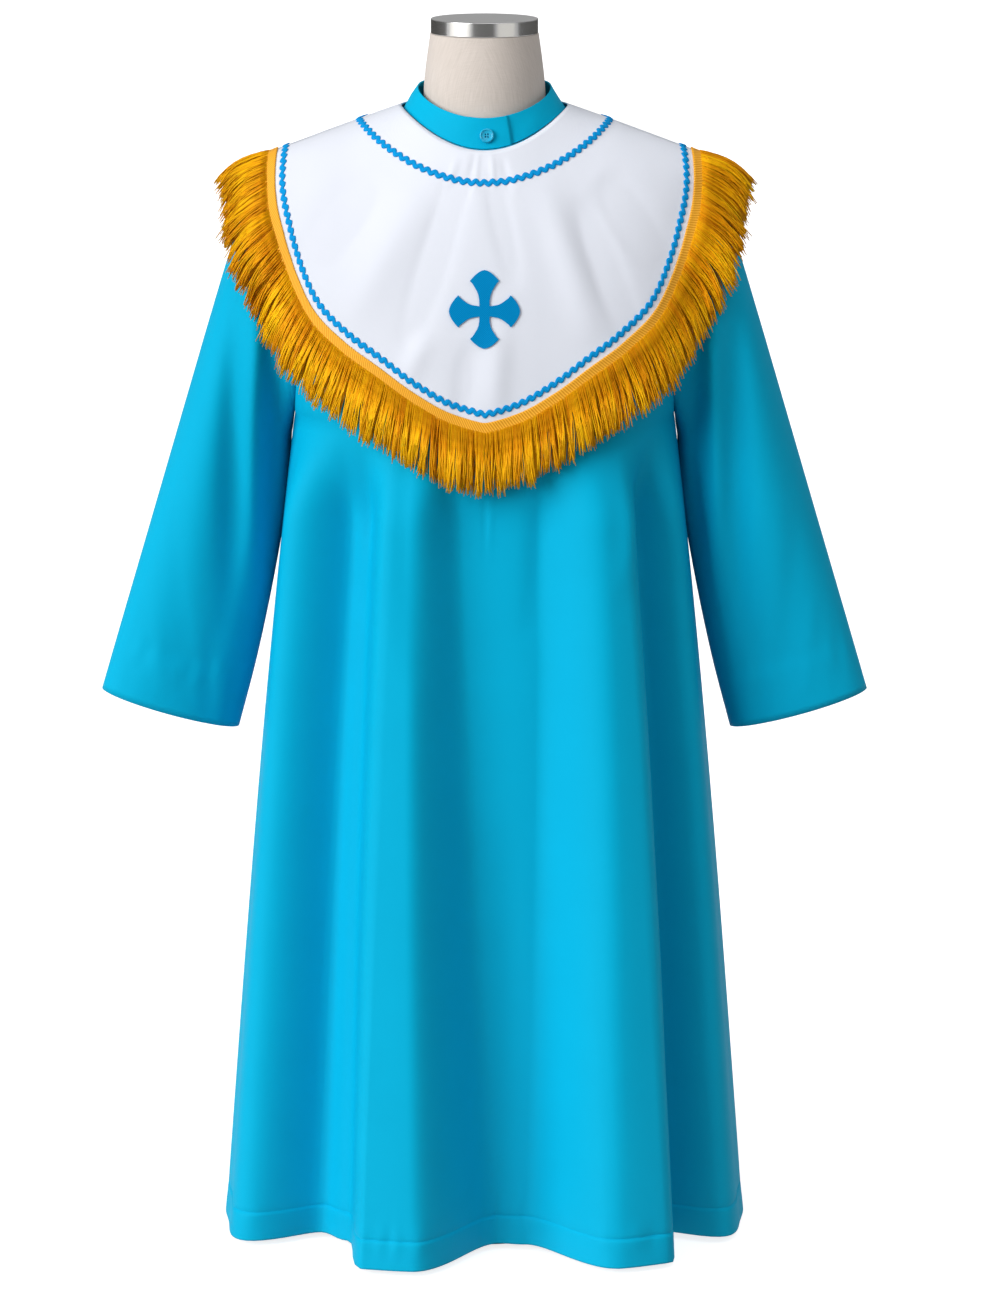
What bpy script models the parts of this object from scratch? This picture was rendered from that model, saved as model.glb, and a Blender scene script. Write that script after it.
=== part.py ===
"""Altar server robe with a fringed shoulder cape, worn by a limbless dress form.

The robe is a front, a back, two set-in sleeves and a stand collar with one button. The cape
lies over it: a front and a back joined on the shoulders, with zigzag braid, a cross and a
fringe. Metres, +Z up, the front faces -Y, and the origin is under the middle of the base.
"""

import math
import random
from collections import namedtuple

import bmesh
import bpy
from mathutils import Vector
from mathutils.bvhtree import BVHTree

for old in list(bpy.data.objects):
    bpy.data.objects.remove(old)

# Cloth and seams
WALL = 0.0012
SEAM = 0.0004
SLEEVE_SEAM = 0.0010
LIE = 0.0003

# Robe body, on its outer face
HEM_Z = 0.006
UNDERARM_Z = 0.805
UNDERARM_HALF = 0.182
HEM_HALF = 0.2558
SIDE_BULGE = 0.0045
SECTION_SQUARE = 0.87
FOLDS_START = 0.12
FOLDS_GROW = 1.1
ARMHOLE_SCOOP = 0.012
ARMHOLE_TURN = math.radians(18)

# Shoulders and neck
NECK_HALF = 0.0765
NECK_Z = 1.097
NECK_ROUND = 0.04
SHOULDER_SLOPE = 0.377
REACH = 0.235
REACH_SQUARE = 2.6
REACH_SOFT = 0.625

# Front and back differ in depth, in how full the chest is, and in their folds
Side = namedtuple("Side", "sign depth hem_depth power neck cape_neck folds")
Fold = namedtuple("Fold", "line high low high_out low_out")
FRONT_FOLDS = (
    Fold("seam, viewer's left", -1.0, -1.0, 0.0, 0.0),
    Fold("crest beside the seam", -0.88, -0.86, 0.012, 0.017),
    Fold("first trough", -0.69, -0.71, -0.016, -0.030),
    Fold("foot of the left fold", -0.64, -0.53, -0.016, -0.018),
    Fold("crest of the left fold", -0.43, -0.41, 0.012, 0.051),
    Fold("right side of that crest", -0.34, -0.24, 0.013, 0.048),
    Fold("wide middle trough", -0.10, 0.01, -0.009, -0.043),
    Fold("right side of that trough", 0.32, 0.18, -0.009, -0.038),
    Fold("crest of the right fold", 0.55, 0.46, 0.013, 0.054),
    Fold("right side of that crest", 0.63, 0.59, 0.013, 0.044),
    Fold("last trough", 0.84, 0.72, -0.012, -0.024),
    Fold("crest beside the seam", 0.94, 0.89, 0.004, 0.015),
    Fold("seam, viewer's right", 1.0, 1.0, 0.0, 0.0),
)
BACK_FOLDS = (
    Fold("seam, viewer's left", -1.0, -1.0, 0.0, 0.0),
    Fold("crest beside the seam", -0.88, -0.86, 0.006, 0.014),
    Fold("first trough", -0.66, -0.64, -0.009, -0.026),
    Fold("crest of the left fold", -0.36, -0.40, 0.011, 0.034),
    Fold("left middle trough", -0.12, -0.16, -0.007, -0.024),
    Fold("middle fold", 0.10, 0.06, 0.006, 0.022),
    Fold("right middle trough", 0.30, 0.27, -0.008, -0.028),
    Fold("crest of the right fold", 0.52, 0.50, 0.011, 0.036),
    Fold("last trough", 0.74, 0.71, -0.008, -0.022),
    Fold("crest beside the seam", 0.90, 0.88, 0.006, 0.014),
    Fold("seam, viewer's right", 1.0, 1.0, 0.0, 0.0),
)
FRONT = Side(-1, 0.125, 0.155, 2.17, 0.0730, 0.0743, FRONT_FOLDS)
BACK = Side(1, 0.110, 0.150, 2.80, 0.0640, 0.0653, BACK_FOLDS)

# Sleeve rings from the armhole to the cuff, on the right; egg is 1 where a ring keeps the armhole's shape
Ring = namedtuple("Ring", "outer_x outer_z inner_x inner_z depth egg")
SLEEVE_RINGS = (
    Ring(0.1960, 1.0455, 0.1846, 0.8020, 0.0740, 0.95),
    Ring(0.2110, 1.0310, 0.1852, 0.7985, 0.0730, 0.80),
    Ring(0.2270, 1.0040, 0.1858, 0.7940, 0.0710, 0.55),
    Ring(0.2440, 0.9580, 0.1864, 0.7885, 0.0680, 0.30),
    Ring(0.2620, 0.9000, 0.1872, 0.7790, 0.0640, 0.10),
    Ring(0.2800, 0.8400, 0.1895, 0.7560, 0.0600, 0.0),
    Ring(0.3039, 0.7600, 0.1950, 0.7080, 0.0530, 0.0),
    Ring(0.3278, 0.6800, 0.2070, 0.6360, 0.0465, 0.0),
    Ring(0.3518, 0.6000, 0.2222, 0.5600, 0.0405, 0.0),
    Ring(0.3717, 0.5330, 0.2397, 0.4910, 0.0360, 0.0),
)
SleeveFold = namedtuple("SleeveFold", "line high_x low_x width out top bottom")
SLEEVE_FOLDS = (
    SleeveFold("soft ridge beside the body", 0.214, 0.222, 0.010, 0.004, 0.95, 0.60),
    SleeveFold("long trough from the armhole", 0.236, 0.244, 0.013, -0.010, 0.97, 0.58),
    SleeveFold("broad ridge over the arm", 0.262, 0.290, 0.020, 0.003, 0.93, 0.56),
)

# Stand collar, its lapped ends and its button
COLLAR_WALL = 0.0015
COLLAR_TOP_HALF = 0.0636
COLLAR_TOP_FRONT = 0.0650
COLLAR_TOP_BACK = 0.0600
COLLAR_TOP_Z = 1.1118
COLLAR_DIP = 0.0118
COLLAR_WAVE = 0.0056
LAP_START = math.radians(-14)
LAP_END = math.radians(20)
LAP_EASE = math.radians(50)
BUTTON_X = 0.0023
BUTTON_RADIUS = 0.0070
BUTTON_THICK = 0.0026
BUTTON_HOLE = 0.0008
BUTTON_HOLE_PITCH = 0.0017

# Cape: its braid line seen from the front, as the distance from a point between the shoulders
CAPE_CLEAR = 0.0015
CAPE_POINT_Z = 1.0604
CapeLine = namedtuple("CapeLine", "degrees front back")
CAPE_LINE = (
    CapeLine(0, 0.2368, 0.2150),
    CapeLine(8, 0.2290, 0.2110),
    CapeLine(16, 0.2204, 0.2075),
    CapeLine(26, 0.2102, 0.2040),
    CapeLine(36, 0.2065, 0.2020),
    CapeLine(46, 0.2053, 0.2010),
    CapeLine(56, 0.1982, 0.1975),
    CapeLine(66, 0.1918, 0.1930),
    CapeLine(78, 0.1890, 0.1898),
    CapeLine(90, 0.1856, 0.1856),
)
SHOULDER_ANGLE = math.radians(80)
SEAM_TURN = math.radians(89.9)
SEAM_REACH = 0.002
WHITE_MARGIN = 0.0090
TAPE_WIDTH = 0.0120
TAPE_THICK = 0.0010
NECK_BRAID_MIDDLE = 0.0298
NECK_BRAID_SIDE = 0.0405
BRAID_PITCH = 0.0080
BRAID_SWING = 0.0018
BRAID_WIDTH = 0.0042
BRAID_RISE = 0.0009

# Fringe locks, rooted in the tape's outer edge
LOCKS = 80
LOCK_LENGTH = 0.062
LOCK_WIDTH = 0.0056
LOCK_THICK = 0.0022
LOCK_CLEAR = 0.0045

# Cross: half-width of an arm along its length, from the middle to the tip, and how much the
# sides of its end fall back from the tip
CROSS_Z = 0.9200
CrossRow = namedtuple("CrossRow", "reach half")
CROSS_ARM = (
    CrossRow(0.0048, 0.0048),
    CrossRow(0.0135, 0.0059),
    CrossRow(0.0200, 0.0094),
    CrossRow(0.0350, 0.0144),
)
CROSS_END_DROP = 0.0090
CROSS_THICK = 0.0009

# Dress form
FORM_BOTTOM = 0.42
FORM_INSET = 0.0027
FORM_SLIMMER = 0.015
FORM_HALF_CHEST = 0.146
FORM_HALF_SHOULDER = 0.169
NECK_TOP_Z = 1.1677
NECK_BLEND = 12
FormRow = namedtuple("FormRow", "z half front back")
FORM_ROWS = (
    FormRow(0.420, 0.128, 0.090, 0.088),
    FormRow(0.440, 0.136, 0.098, 0.096),
    FormRow(0.500, 0.140, 0.101, 0.100),
    FormRow(0.580, 0.130, 0.096, 0.092),
    FormRow(0.660, 0.125, 0.097, 0.088),
    FormRow(0.740, 0.136, 0.105, 0.094),
    FormRow(0.805, 0.146, 0.113, 0.098),
)
NeckRow = namedtuple("NeckRow", "z radius")
NECK_ROWS = (
    NeckRow(1.030, 0.0590),
    NeckRow(1.080, 0.0585),
    NeckRow(1.118, 0.0575),
    NeckRow(1.142, 0.0550),
    NeckRow(1.1677, 0.0522),
)
CAP_RADIUS = 0.0508
CAP_HEIGHT = 0.0138
POLE_RADIUS = 0.0125
BASE_RADIUS = 0.105
BASE_EDGE = 0.007
BASE_MIDDLE = 0.014

model = bpy.data.collections.new("altar_server_robe")
bpy.context.scene.collection.children.link(model)
cutters = bpy.data.collections.new("cutters")
bpy.context.scene.collection.children.link(cutters)


def finish(name, colour, roughness, metallic=0.0):
    """A plain material from an sRGB hex colour."""
    channels = [int(colour[i : i + 2], 16) / 255 for i in (0, 2, 4)]
    linear = [c / 12.92 if c <= 0.04045 else ((c + 0.055) / 1.055) ** 2.4 for c in channels]
    material = bpy.data.materials.new(name)
    material.use_nodes = True
    shader = material.node_tree.nodes["Principled BSDF"]
    shader.inputs["Base Color"].default_value = (*linear, 1)
    shader.inputs["Roughness"].default_value = roughness
    shader.inputs["Metallic"].default_value = metallic
    material.diffuse_color = (*linear, 1)
    return material


robe_cloth = finish("turquoise robe cloth", "00BEE6", 0.75)
cape_cloth = finish("white cape cloth", "ECEFF8", 0.8)
braid_cotton = finish("blue zigzag braid", "1088C8", 0.7)
cross_cloth = finish("blue cross cloth", "0C80C4", 0.7)
fringe_yarn = finish("gold fringe yarn", "EFA414", 0.55)
button_resin = finish("turquoise button", "10B0D8", 0.35)
form_linen = finish("cream form cover", "D6CFC6", 0.85)
bright_metal = finish("bright metal", "C8C8C8", 0.2, 1.0)
dark_metal = finish("painted steel", "4A4C50", 0.5)


def mix(low, high, share):
    return low + (high - low) * share


def add_object(name, mesh, material, smooth=True):
    mesh.materials.append(material)
    obj = bpy.data.objects.new(name, mesh)
    model.objects.link(obj)
    if smooth:
        mesh.shade_smooth()
    return obj


def grid_mesh(name, rows, closed=False):
    """A sheet through rows of points; closed joins each row's ends."""
    bm = bmesh.new()
    lines = [[bm.verts.new(point) for point in row] for row in rows]
    for lower, upper in zip(lines, lines[1:]):
        count = len(lower)
        for i in range(count if closed else count - 1):
            j = (i + 1) % count
            bm.faces.new((lower[i], lower[j], upper[j], upper[i]))
    mesh = bpy.data.meshes.new(name)
    bm.to_mesh(mesh)
    bm.free()
    return mesh


def cloth(name, rows, material, closed=False, wall=WALL):
    """A wall of cloth whose outer face is the sheet through the rows."""
    obj = add_object(name, grid_mesh(name, rows, closed), material)
    thicken = obj.modifiers.new("cloth", "SOLIDIFY")
    thicken.thickness = wall
    thicken.offset = -1
    thicken.use_quality_normals = True
    return obj


def smooth_table(places, values, at):
    """The value at a place of a table, on a smooth line through its rows."""
    at = min(max(at, places[0]), places[-1])
    k = 0
    while k < len(places) - 2 and at > places[k + 1]:
        k += 1
    span = places[k + 1] - places[k]
    share = (at - places[k]) / span
    before, after = max(k - 1, 0), min(k + 2, len(places) - 1)
    slope_in = (values[k + 1] - values[before]) / (places[k + 1] - places[before]) * span
    slope_out = (values[after] - values[k]) / (places[after] - places[k]) * span
    a, b = share * share * (3 - 2 * share), share * (1 - share)
    return mix(values[k], values[k + 1], a) + b * ((1 - share) * slope_in - share * slope_out)


# Shape that the robe's yoke, the cape and the form's shoulders share


def ridge(x):
    """Height of the shoulder line at x."""
    return NECK_Z - SHOULDER_SLOPE * (
        math.hypot(x, NECK_ROUND) - math.hypot(NECK_HALF, NECK_ROUND)
    )


def fullness(x):
    """Share of the chest's depth that is left at x."""
    return max(0.0, 1 - (abs(x) / REACH) ** REACH_SQUARE) ** REACH_SOFT


def bare_yoke(side, x, turn):
    """A point of the robe; turn is 0 level with the underarm and a quarter turn on the shoulder."""
    power = 2 / side.power
    y = side.sign * side.depth * fullness(x) * max(0.0, math.cos(turn)) ** power
    rise = math.copysign(abs(math.sin(turn)) ** power, turn)
    return Vector((x, y, UNDERARM_Z + (ridge(x) - UNDERARM_Z) * rise))


def yoke(side, x, turn, out=0.0):
    """The same point moved out along the surface's normal."""
    here = bare_yoke(side, x, turn)
    if not out:
        return here
    along = bare_yoke(side, x + 0.0005, turn) - bare_yoke(side, x - 0.0005, turn)
    low, high = turn - 0.002, min(turn + 0.002, math.pi / 2)
    up = bare_yoke(side, x, high) - bare_yoke(side, x, low)
    normal = along.cross(up).normalized() * -side.sign
    return here + normal * out


def turn_at_height(side, x, z):
    share = (z - UNDERARM_Z) / (ridge(x) - UNDERARM_Z)
    return math.copysign(math.asin(min(abs(share), 1.0) ** (side.power / 2)), share)


def turn_at_depth(side, x, depth):
    share = depth / (side.depth * fullness(x))
    return math.acos(min(max(share, 0.0), 1.0) ** (side.power / 2))


def plan(place):
    """Across and deep shares of a half ring; place runs from -1 to 1."""
    angle = place * math.pi / 2
    across = math.copysign(abs(math.sin(angle)) ** SECTION_SQUARE, place)
    deep = max(0.0, math.cos(angle)) ** SECTION_SQUARE
    return across, deep


def place_at(across):
    """The place whose across share is given, the inverse of plan."""
    return math.asin(min(1.0, across) ** (1 / SECTION_SQUARE)) * 2 / math.pi


# Robe body


def armhole_x(turn):
    return UNDERARM_HALF - ARMHOLE_SCOOP * math.sin(2 * turn)


def fold_out(side, across, drop):
    """How far a fold stands out at a place across the panel, growing towards the hem."""
    start = min(1.0, drop / FOLDS_START)
    start = start * start * (3 - 2 * start)
    grow = max(0.0, (drop - FOLDS_START) / (1 - FOLDS_START)) ** FOLDS_GROW
    before = side.folds[0]
    for fold in side.folds[1:]:
        left, right = mix(before.high, before.low, drop), mix(fold.high, fold.low, drop)
        if across <= right:
            share = 0.5 - 0.5 * math.cos(math.pi * (across - left) / (right - left))
            high = mix(before.high_out, fold.high_out, share) * start
            return mix(high, mix(before.low_out, fold.low_out, share), grow)
        before = fold
    return 0.0


def skirt_point(side, place, z):
    across, deep = plan(place)
    drop = (UNDERARM_Z - z) / (UNDERARM_Z - HEM_Z)
    half = mix(UNDERARM_HALF, HEM_HALF, drop)
    half += SIDE_BULGE * math.sin(math.pi * drop**0.8)
    depth = mix(side.depth, side.hem_depth, drop)
    angle = place * math.pi / 2
    normal = Vector((math.sin(angle) * depth, side.sign * math.cos(angle) * half, 0)).normalized()
    flat = Vector((across * half, side.sign * (deep * depth + SEAM / 2), z))
    return flat + normal * fold_out(side, across, drop)


def upper_point(side, place, turn):
    """A robe point above the underarm, between the half ring below and the yoke."""
    across, deep = plan(place)
    point = bare_yoke(side, across * armhole_x(turn), turn)
    ring_depth = side.depth * deep * max(0.0, math.cos(turn)) ** (2 / side.power)
    share = min(1.0, turn / ARMHOLE_TURN) ** 0.5
    point.y = side.sign * (mix(ring_depth, abs(point.y), share) + SEAM / 2)
    return point


def neckline_turn(side, place):
    """The turn at which a column of the panel reaches the neckline or the shoulder line."""
    def outside(turn):
        point = upper_point(side, place, turn)
        return math.hypot(point.x / NECK_HALF, point.y / side.neck) - 1

    low, high = 0.0, math.pi / 2
    if outside(high) >= -1e-6:
        return high
    for _ in range(40):
        middle = (low + high) / 2
        if outside(middle) > 0:
            low = middle
        else:
            high = middle
    return low


SKIRT_LEVELS = (0.0, 0.05, 0.14, 0.25, 0.37, 0.50, 0.63, 0.76, 0.88)
YOKE_STEPS = (0.0, 0.05, 0.15, 0.30, 0.48, 0.66, 0.82, 0.93, 0.98, 1.0)


def panel_places(inner, outer):
    """Columns of a panel: even steps to the neck corner, and even steps on to the side seam."""
    corner = place_at(NECK_HALF / armhole_x(math.pi / 2))
    half = [corner * i / inner for i in range(inner)]
    half += [mix(corner, 1.0, i / outer) for i in range(outer + 1)]
    return [-p for p in reversed(half[1:])] + half


def panel_rows(side, inner, outer):
    places = panel_places(inner, outer)
    if side is BACK:
        places.reverse()
    rows = []
    for level in SKIRT_LEVELS:
        z = mix(HEM_Z, UNDERARM_Z, level)
        rows.append([skirt_point(side, place, z) for place in places])
    ends = [neckline_turn(side, place) for place in places]
    for step in YOKE_STEPS:
        rows.append([upper_point(side, p, end * step) for p, end in zip(places, ends)])
    return rows


robe_front = cloth("robe_front", panel_rows(FRONT, 7, 9), robe_cloth)
robe_back = cloth("robe_back", panel_rows(BACK, 6, 7), robe_cloth)

# Sleeves: tubes that start at the armhole and hang just clear of the body

SLEEVE_POINTS = 22


def armhole_point(angle, hand):
    """The armhole's edge; angle is 0 on the shoulder and pi under the arm, past the front first."""
    side = FRONT if angle <= math.pi else BACK
    height = (1 + math.cos(angle)) / 2
    turn = math.asin(height ** (side.power / 2))
    point = upper_point(side, 1.0, turn)
    if angle in (0.0, math.pi):
        point.y = 0.0
    return Vector((hand * (point.x + SLEEVE_SEAM), point.y, point.z))


def sleeve_fold(x, z):
    """How far the sleeve's folds stand out at a point seen from the front."""
    total = 0.0
    for fold in SLEEVE_FOLDS:
        if fold.bottom < z < fold.top:
            share = (fold.top - z) / (fold.top - fold.bottom)
            line = mix(fold.high_x, fold.low_x, share)
            total += fold.out * math.sin(math.pi * share) * math.exp(-(((x - line) / fold.width) ** 2))
    return total


def sleeve_rows(hand):
    angles = [2 * math.pi * i / SLEEVE_POINTS for i in range(SLEEVE_POINTS)]
    egg = [armhole_point(angle, 1) for angle in angles]
    deepest = max(abs(point.y) for point in egg)
    rows = [[armhole_point(angle, hand) for angle in angles]]
    for ring in SLEEVE_RINGS:
        outer = Vector((ring.outer_x, 0, ring.outer_z))
        inner = Vector((ring.inner_x, 0, ring.inner_z))
        middle, half = (outer + inner) / 2, (outer - inner) / 2
        row = []
        for angle, edge in zip(angles, egg):
            point = middle + half * math.cos(angle)
            y = -mix(math.sin(angle), -edge.y / deepest, ring.egg) * ring.depth
            y -= sleeve_fold(point.x, point.z) * math.sin(angle)
            row.append(Vector((hand * point.x, y, point.z)))
        rows.append(row)
    if hand < 0:
        rows = [[row[0]] + row[:0:-1] for row in rows]
    return rows


sleeve_left = cloth("sleeve_left", sleeve_rows(-1), robe_cloth, closed=True)
sleeve_right = cloth("sleeve_right", sleeve_rows(1), robe_cloth, closed=True)


def tree_of(*sheets):
    """A search tree over the outer faces of cloths, each split along both its diagonals."""
    points, faces = [], []
    for sheet in sheets:
        start = len(points)
        points += [vertex.co for vertex in sheet.data.vertices]
        for face in sheet.data.polygons:
            a, b, c, d = (start + i for i in face.vertices)
            faces += [(a, b, c), (a, c, d), (a, b, d), (b, c, d)]
    return BVHTree.FromPolygons(points, faces)


robe_tree = tree_of(robe_front, robe_back, sleeve_left, sleeve_right)


def clear_of_robe(point, clearance):
    """The point, moved off the robe until it is clear of it."""
    for _ in range(3):
        nearest, normal, _, _ = robe_tree.find_nearest(point)
        height = (point - nearest).dot(normal)
        if height >= clearance:
            break
        point = point + normal * (clearance - height)
    return point


# Stand collar: one strip round the neck, whose outer end laps over the inner one


def neck_loop(angle, grow=0.0):
    """A point of the robe's neckline; angle is 0 at the front and grows towards +X."""
    side = FRONT if math.cos(angle) > 0 else BACK
    x = (NECK_HALF + grow) * math.sin(angle)
    depth = (side.neck + grow) * abs(math.cos(angle))
    point = bare_yoke(side, x, turn_at_depth(side, x, depth))
    return Vector((x, side.sign * depth, point.z))


def collar_top(angle):
    deep = COLLAR_TOP_FRONT if math.cos(angle) > 0 else COLLAR_TOP_BACK
    z = COLLAR_TOP_Z - COLLAR_DIP * math.cos(angle) - COLLAR_WAVE * math.cos(2 * angle)
    return Vector((COLLAR_TOP_HALF * math.sin(angle), -deep * math.cos(angle), z))


def collar_point(angle, height):
    """A point of the collar's outer face; the first stretch lies inside the lapping end."""
    past = (angle - LAP_END) / LAP_EASE
    tuck = (COLLAR_WALL + LIE) * (1 - min(max(past, 0.0), 1.0))
    low = neck_loop(angle) + Vector((0, 0, 3 * LIE))
    point = low.lerp(collar_top(angle), height)
    inward = Vector((-math.sin(angle), math.cos(angle), 0))
    return point + inward * tuck


def collar_rows(steps, levels):
    end = 2 * math.pi + LAP_END
    angles = [mix(LAP_START, end, i / steps) for i in range(steps + 1)]
    return [[collar_point(a, level / levels) for a in angles] for level in range(levels + 1)]


cloth("collar_band", collar_rows(40, 2), robe_cloth, wall=COLLAR_WALL)

button_angle = math.asin(BUTTON_X / NECK_HALF)
button_seat = collar_point(2 * math.pi + button_angle, 0.42)
button_up = (collar_top(0) - neck_loop(0)).normalized()
button_out = Vector((0, -button_up.z, button_up.y))
bpy.ops.mesh.primitive_cylinder_add(
    vertices=20,
    radius=BUTTON_RADIUS,
    depth=BUTTON_THICK,
    location=button_seat + button_out * (BUTTON_THICK / 2 + 2 * LIE),
    rotation=button_out.to_track_quat("Z", "Y").to_euler(),
)
button = bpy.context.object
button.name = "collar_button"
button.data.materials.append(button_resin)
for collection in list(button.users_collection):
    collection.objects.unlink(button)
model.objects.link(button)
bm = bmesh.new()
bm.from_mesh(button.data)
face = max(bm.faces, key=lambda f: f.normal.z)
bmesh.ops.inset_region(bm, faces=[face], thickness=0.0008, depth=0.0)
bmesh.ops.inset_region(bm, faces=[face], thickness=0.0006, depth=-0.0006)
bm.to_mesh(button.data)
bm.free()
for k in range(4):
    turn = math.pi / 4 + k * math.pi / 2
    bpy.ops.mesh.primitive_cylinder_add(vertices=6, radius=BUTTON_HOLE, depth=3 * BUTTON_THICK)
    hole = bpy.context.object
    hole.name = f"button_hole_cutter_{k + 1}"
    offset = Vector((math.cos(turn), math.sin(turn), 0)) * BUTTON_HOLE_PITCH
    bpy.context.view_layer.update()
    hole.matrix_world = button.matrix_world @ hole.matrix_world.Translation(offset)
    hole.hide_render = True
    hole.display_type = "WIRE"
    for collection in list(hole.users_collection):
        collection.objects.unlink(hole)
    cutters.objects.link(hole)
    cut = button.modifiers.new(f"hole {k + 1}", "BOOLEAN")
    cut.operation = "DIFFERENCE"
    cut.object = hole

# Cape: columns from the neck to its edge, over the chest, the shoulders and the sleeve heads


def cape_line(side, angle):
    """Distance of the outer braid from the point between the shoulders."""
    degrees = [row.degrees for row in CAPE_LINE]
    radii = [row.front if side is FRONT else row.back for row in CAPE_LINE]
    return smooth_table(degrees, radii, abs(math.degrees(angle)))


def cape_ends(side, angle):
    """The neck end and the outer end of a column, each as x and turn."""
    neck_x = (NECK_HALF + side.cape_neck - side.neck) * math.sin(angle)
    neck_turn = turn_at_depth(side, neck_x, side.cape_neck * max(0.0, math.cos(angle)))
    reach = cape_line(side, angle) + WHITE_MARGIN + TAPE_WIDTH
    edge_x = reach * math.sin(angle)
    steep = min(abs(angle), SHOULDER_ANGLE)
    edge_turn = turn_at_height(side, reach * math.sin(steep), CAPE_POINT_Z - reach * math.cos(steep))
    over = (abs(angle) - steep) / (math.pi / 2 - SHOULDER_ANGLE)
    return neck_x, neck_turn, edge_x, mix(edge_turn, math.pi / 2, over)


def cape_face(side, angle, share):
    """A point of the cape's outer face, and the way out of it."""
    neck_x, neck_turn, edge_x, edge_turn = cape_ends(side, angle)
    x, turn = mix(neck_x, edge_x, share), mix(neck_turn, edge_turn, share)
    point = yoke(side, x, turn, CAPE_CLEAR + WALL)
    outward = (point - bare_yoke(side, x, turn)).normalized()
    point = clear_of_robe(point, CAPE_CLEAR + WALL)
    if turn > SEAM_TURN:
        point.y = 0.0
    point.y += side.sign * SEAM / 2
    return point, outward


CAPE_ROWS = (0.0, 0.16, 0.36, 0.56, 0.76, 0.91, 1.0)
CAPE_DEGREES = (0, 8, 16, 25, 34, 43, 52, 60, 67, 73, 78, 82, 86, 89, 90)
COLUMN_STEPS = 16
cape_degrees = [-d for d in CAPE_DEGREES[:0:-1]] + list(CAPE_DEGREES)
cape_angles = [math.radians(d) for d in cape_degrees]


def column_lengths(side, angle):
    """Distance along a column from the neck, at even shares."""
    points = [cape_face(side, angle, i / COLUMN_STEPS)[0] for i in range(COLUMN_STEPS + 1)]
    lengths = [0.0]
    for a, b in zip(points, points[1:]):
        lengths.append(lengths[-1] + (b - a).length)
    return lengths


cape_columns = {s: [column_lengths(s, angle) for angle in cape_angles] for s in (FRONT, BACK)}
shares_found = {}


def share_at(side, angle, distance, to_edge):
    """The share at a distance from the cape's neck, or from its edge."""
    key = (side.sign, distance, to_edge)
    if key not in shares_found:
        shares_found[key] = []
        for lengths in cape_columns[side]:
            wanted = lengths[-1] - distance if to_edge else distance
            k = min(sum(length < wanted for length in lengths[1:]), COLUMN_STEPS - 1)
            part = (wanted - lengths[k]) / (lengths[k + 1] - lengths[k])
            shares_found[key].append((k + part) / COLUMN_STEPS)
    return smooth_table(cape_degrees, shares_found[key], math.degrees(angle))


def cape_rows(side):
    """The cape's points, raised wherever the robe would come through between them."""
    order = cape_angles if side is FRONT else cape_angles[::-1]
    grid = [[cape_face(side, angle, share) for angle in order] for share in reversed(CAPE_ROWS)]
    points = [[point for point, _ in row] for row in grid]
    for _ in range(4):
        for i in range(len(points) - 1):
            for j in range(len(order) - 1):
                corners = [(i, j), (i, j + 1), (i + 1, j), (i + 1, j + 1)]
                short = 0.0
                for a, b in ((0, 1), (0, 2), (0, 3), (1, 2), (1, 3), (2, 3)):
                    (ai, aj), (bi, bj) = corners[a], corners[b]
                    middle = (points[ai][aj] + points[bi][bj]) / 2
                    nearest, normal, _, _ = robe_tree.find_nearest(middle)
                    short = max(short, WALL + 2 * LIE - (middle - nearest).dot(normal))
                for ai, aj in corners if short > 0 else ():
                    points[ai][aj] = points[ai][aj] + Vector((0, 0, short)) * grid[ai][aj][1].z
                    points[ai][aj].x += short * grid[ai][aj][1].x
                    if 0 < aj < len(order) - 1:
                        points[ai][aj].y += short * grid[ai][aj][1].y
    return points


cape_front = cloth("cape_front", cape_rows(FRONT), cape_cloth)
cape_back = cloth("cape_back", cape_rows(BACK), cape_cloth)
cape_trees = {FRONT: tree_of(cape_front), BACK: tree_of(cape_back)}


def on_cape(side, angle, share, out):
    """A point over the cape's own faces, at a share of the way from its neck to its edge."""
    point, outward = cape_face(side, angle, share)
    return cape_trees[side].find_nearest(point)[0] + outward * out


def from_edge(side, angle, inset, out):
    """A point on the cape, at a distance in from its edge along the column."""
    return on_cape(side, angle, share_at(side, angle, inset, True), out)


def round_neck(side, angle, across, out):
    """A point on the cape beside the neck braid's line."""
    near = share_at(side, angle, NECK_BRAID_MIDDLE + across, False)
    far = share_at(side, angle, NECK_BRAID_SIDE + across, False)
    return on_cape(side, angle, mix(near, far, math.sin(angle) ** 2), out)


# Zigzag braid: a flat-bottomed strip that swings from side to side, with a raised middle


def even_angles(line, step):
    """Angles along a line on the cape, so that its points lie a step apart."""
    fine = [math.pi * (i / 400 - 0.5) * 0.995 for i in range(401)]
    points = [line(angle, 0) for angle in fine]
    lengths = [0.0]
    for a, b in zip(points, points[1:]):
        lengths.append(lengths[-1] + (b - a).length)
    count = 2 * round(lengths[-1] / (2 * step))
    angles, k = [], 0
    for i in range(count + 1):
        wanted = lengths[-1] * i / count
        while k < len(lengths) - 2 and lengths[k + 1] < wanted:
            k += 1
        share = (wanted - lengths[k]) / (lengths[k + 1] - lengths[k])
        angles.append(mix(fine[k], fine[k + 1], share))
    return angles


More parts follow.
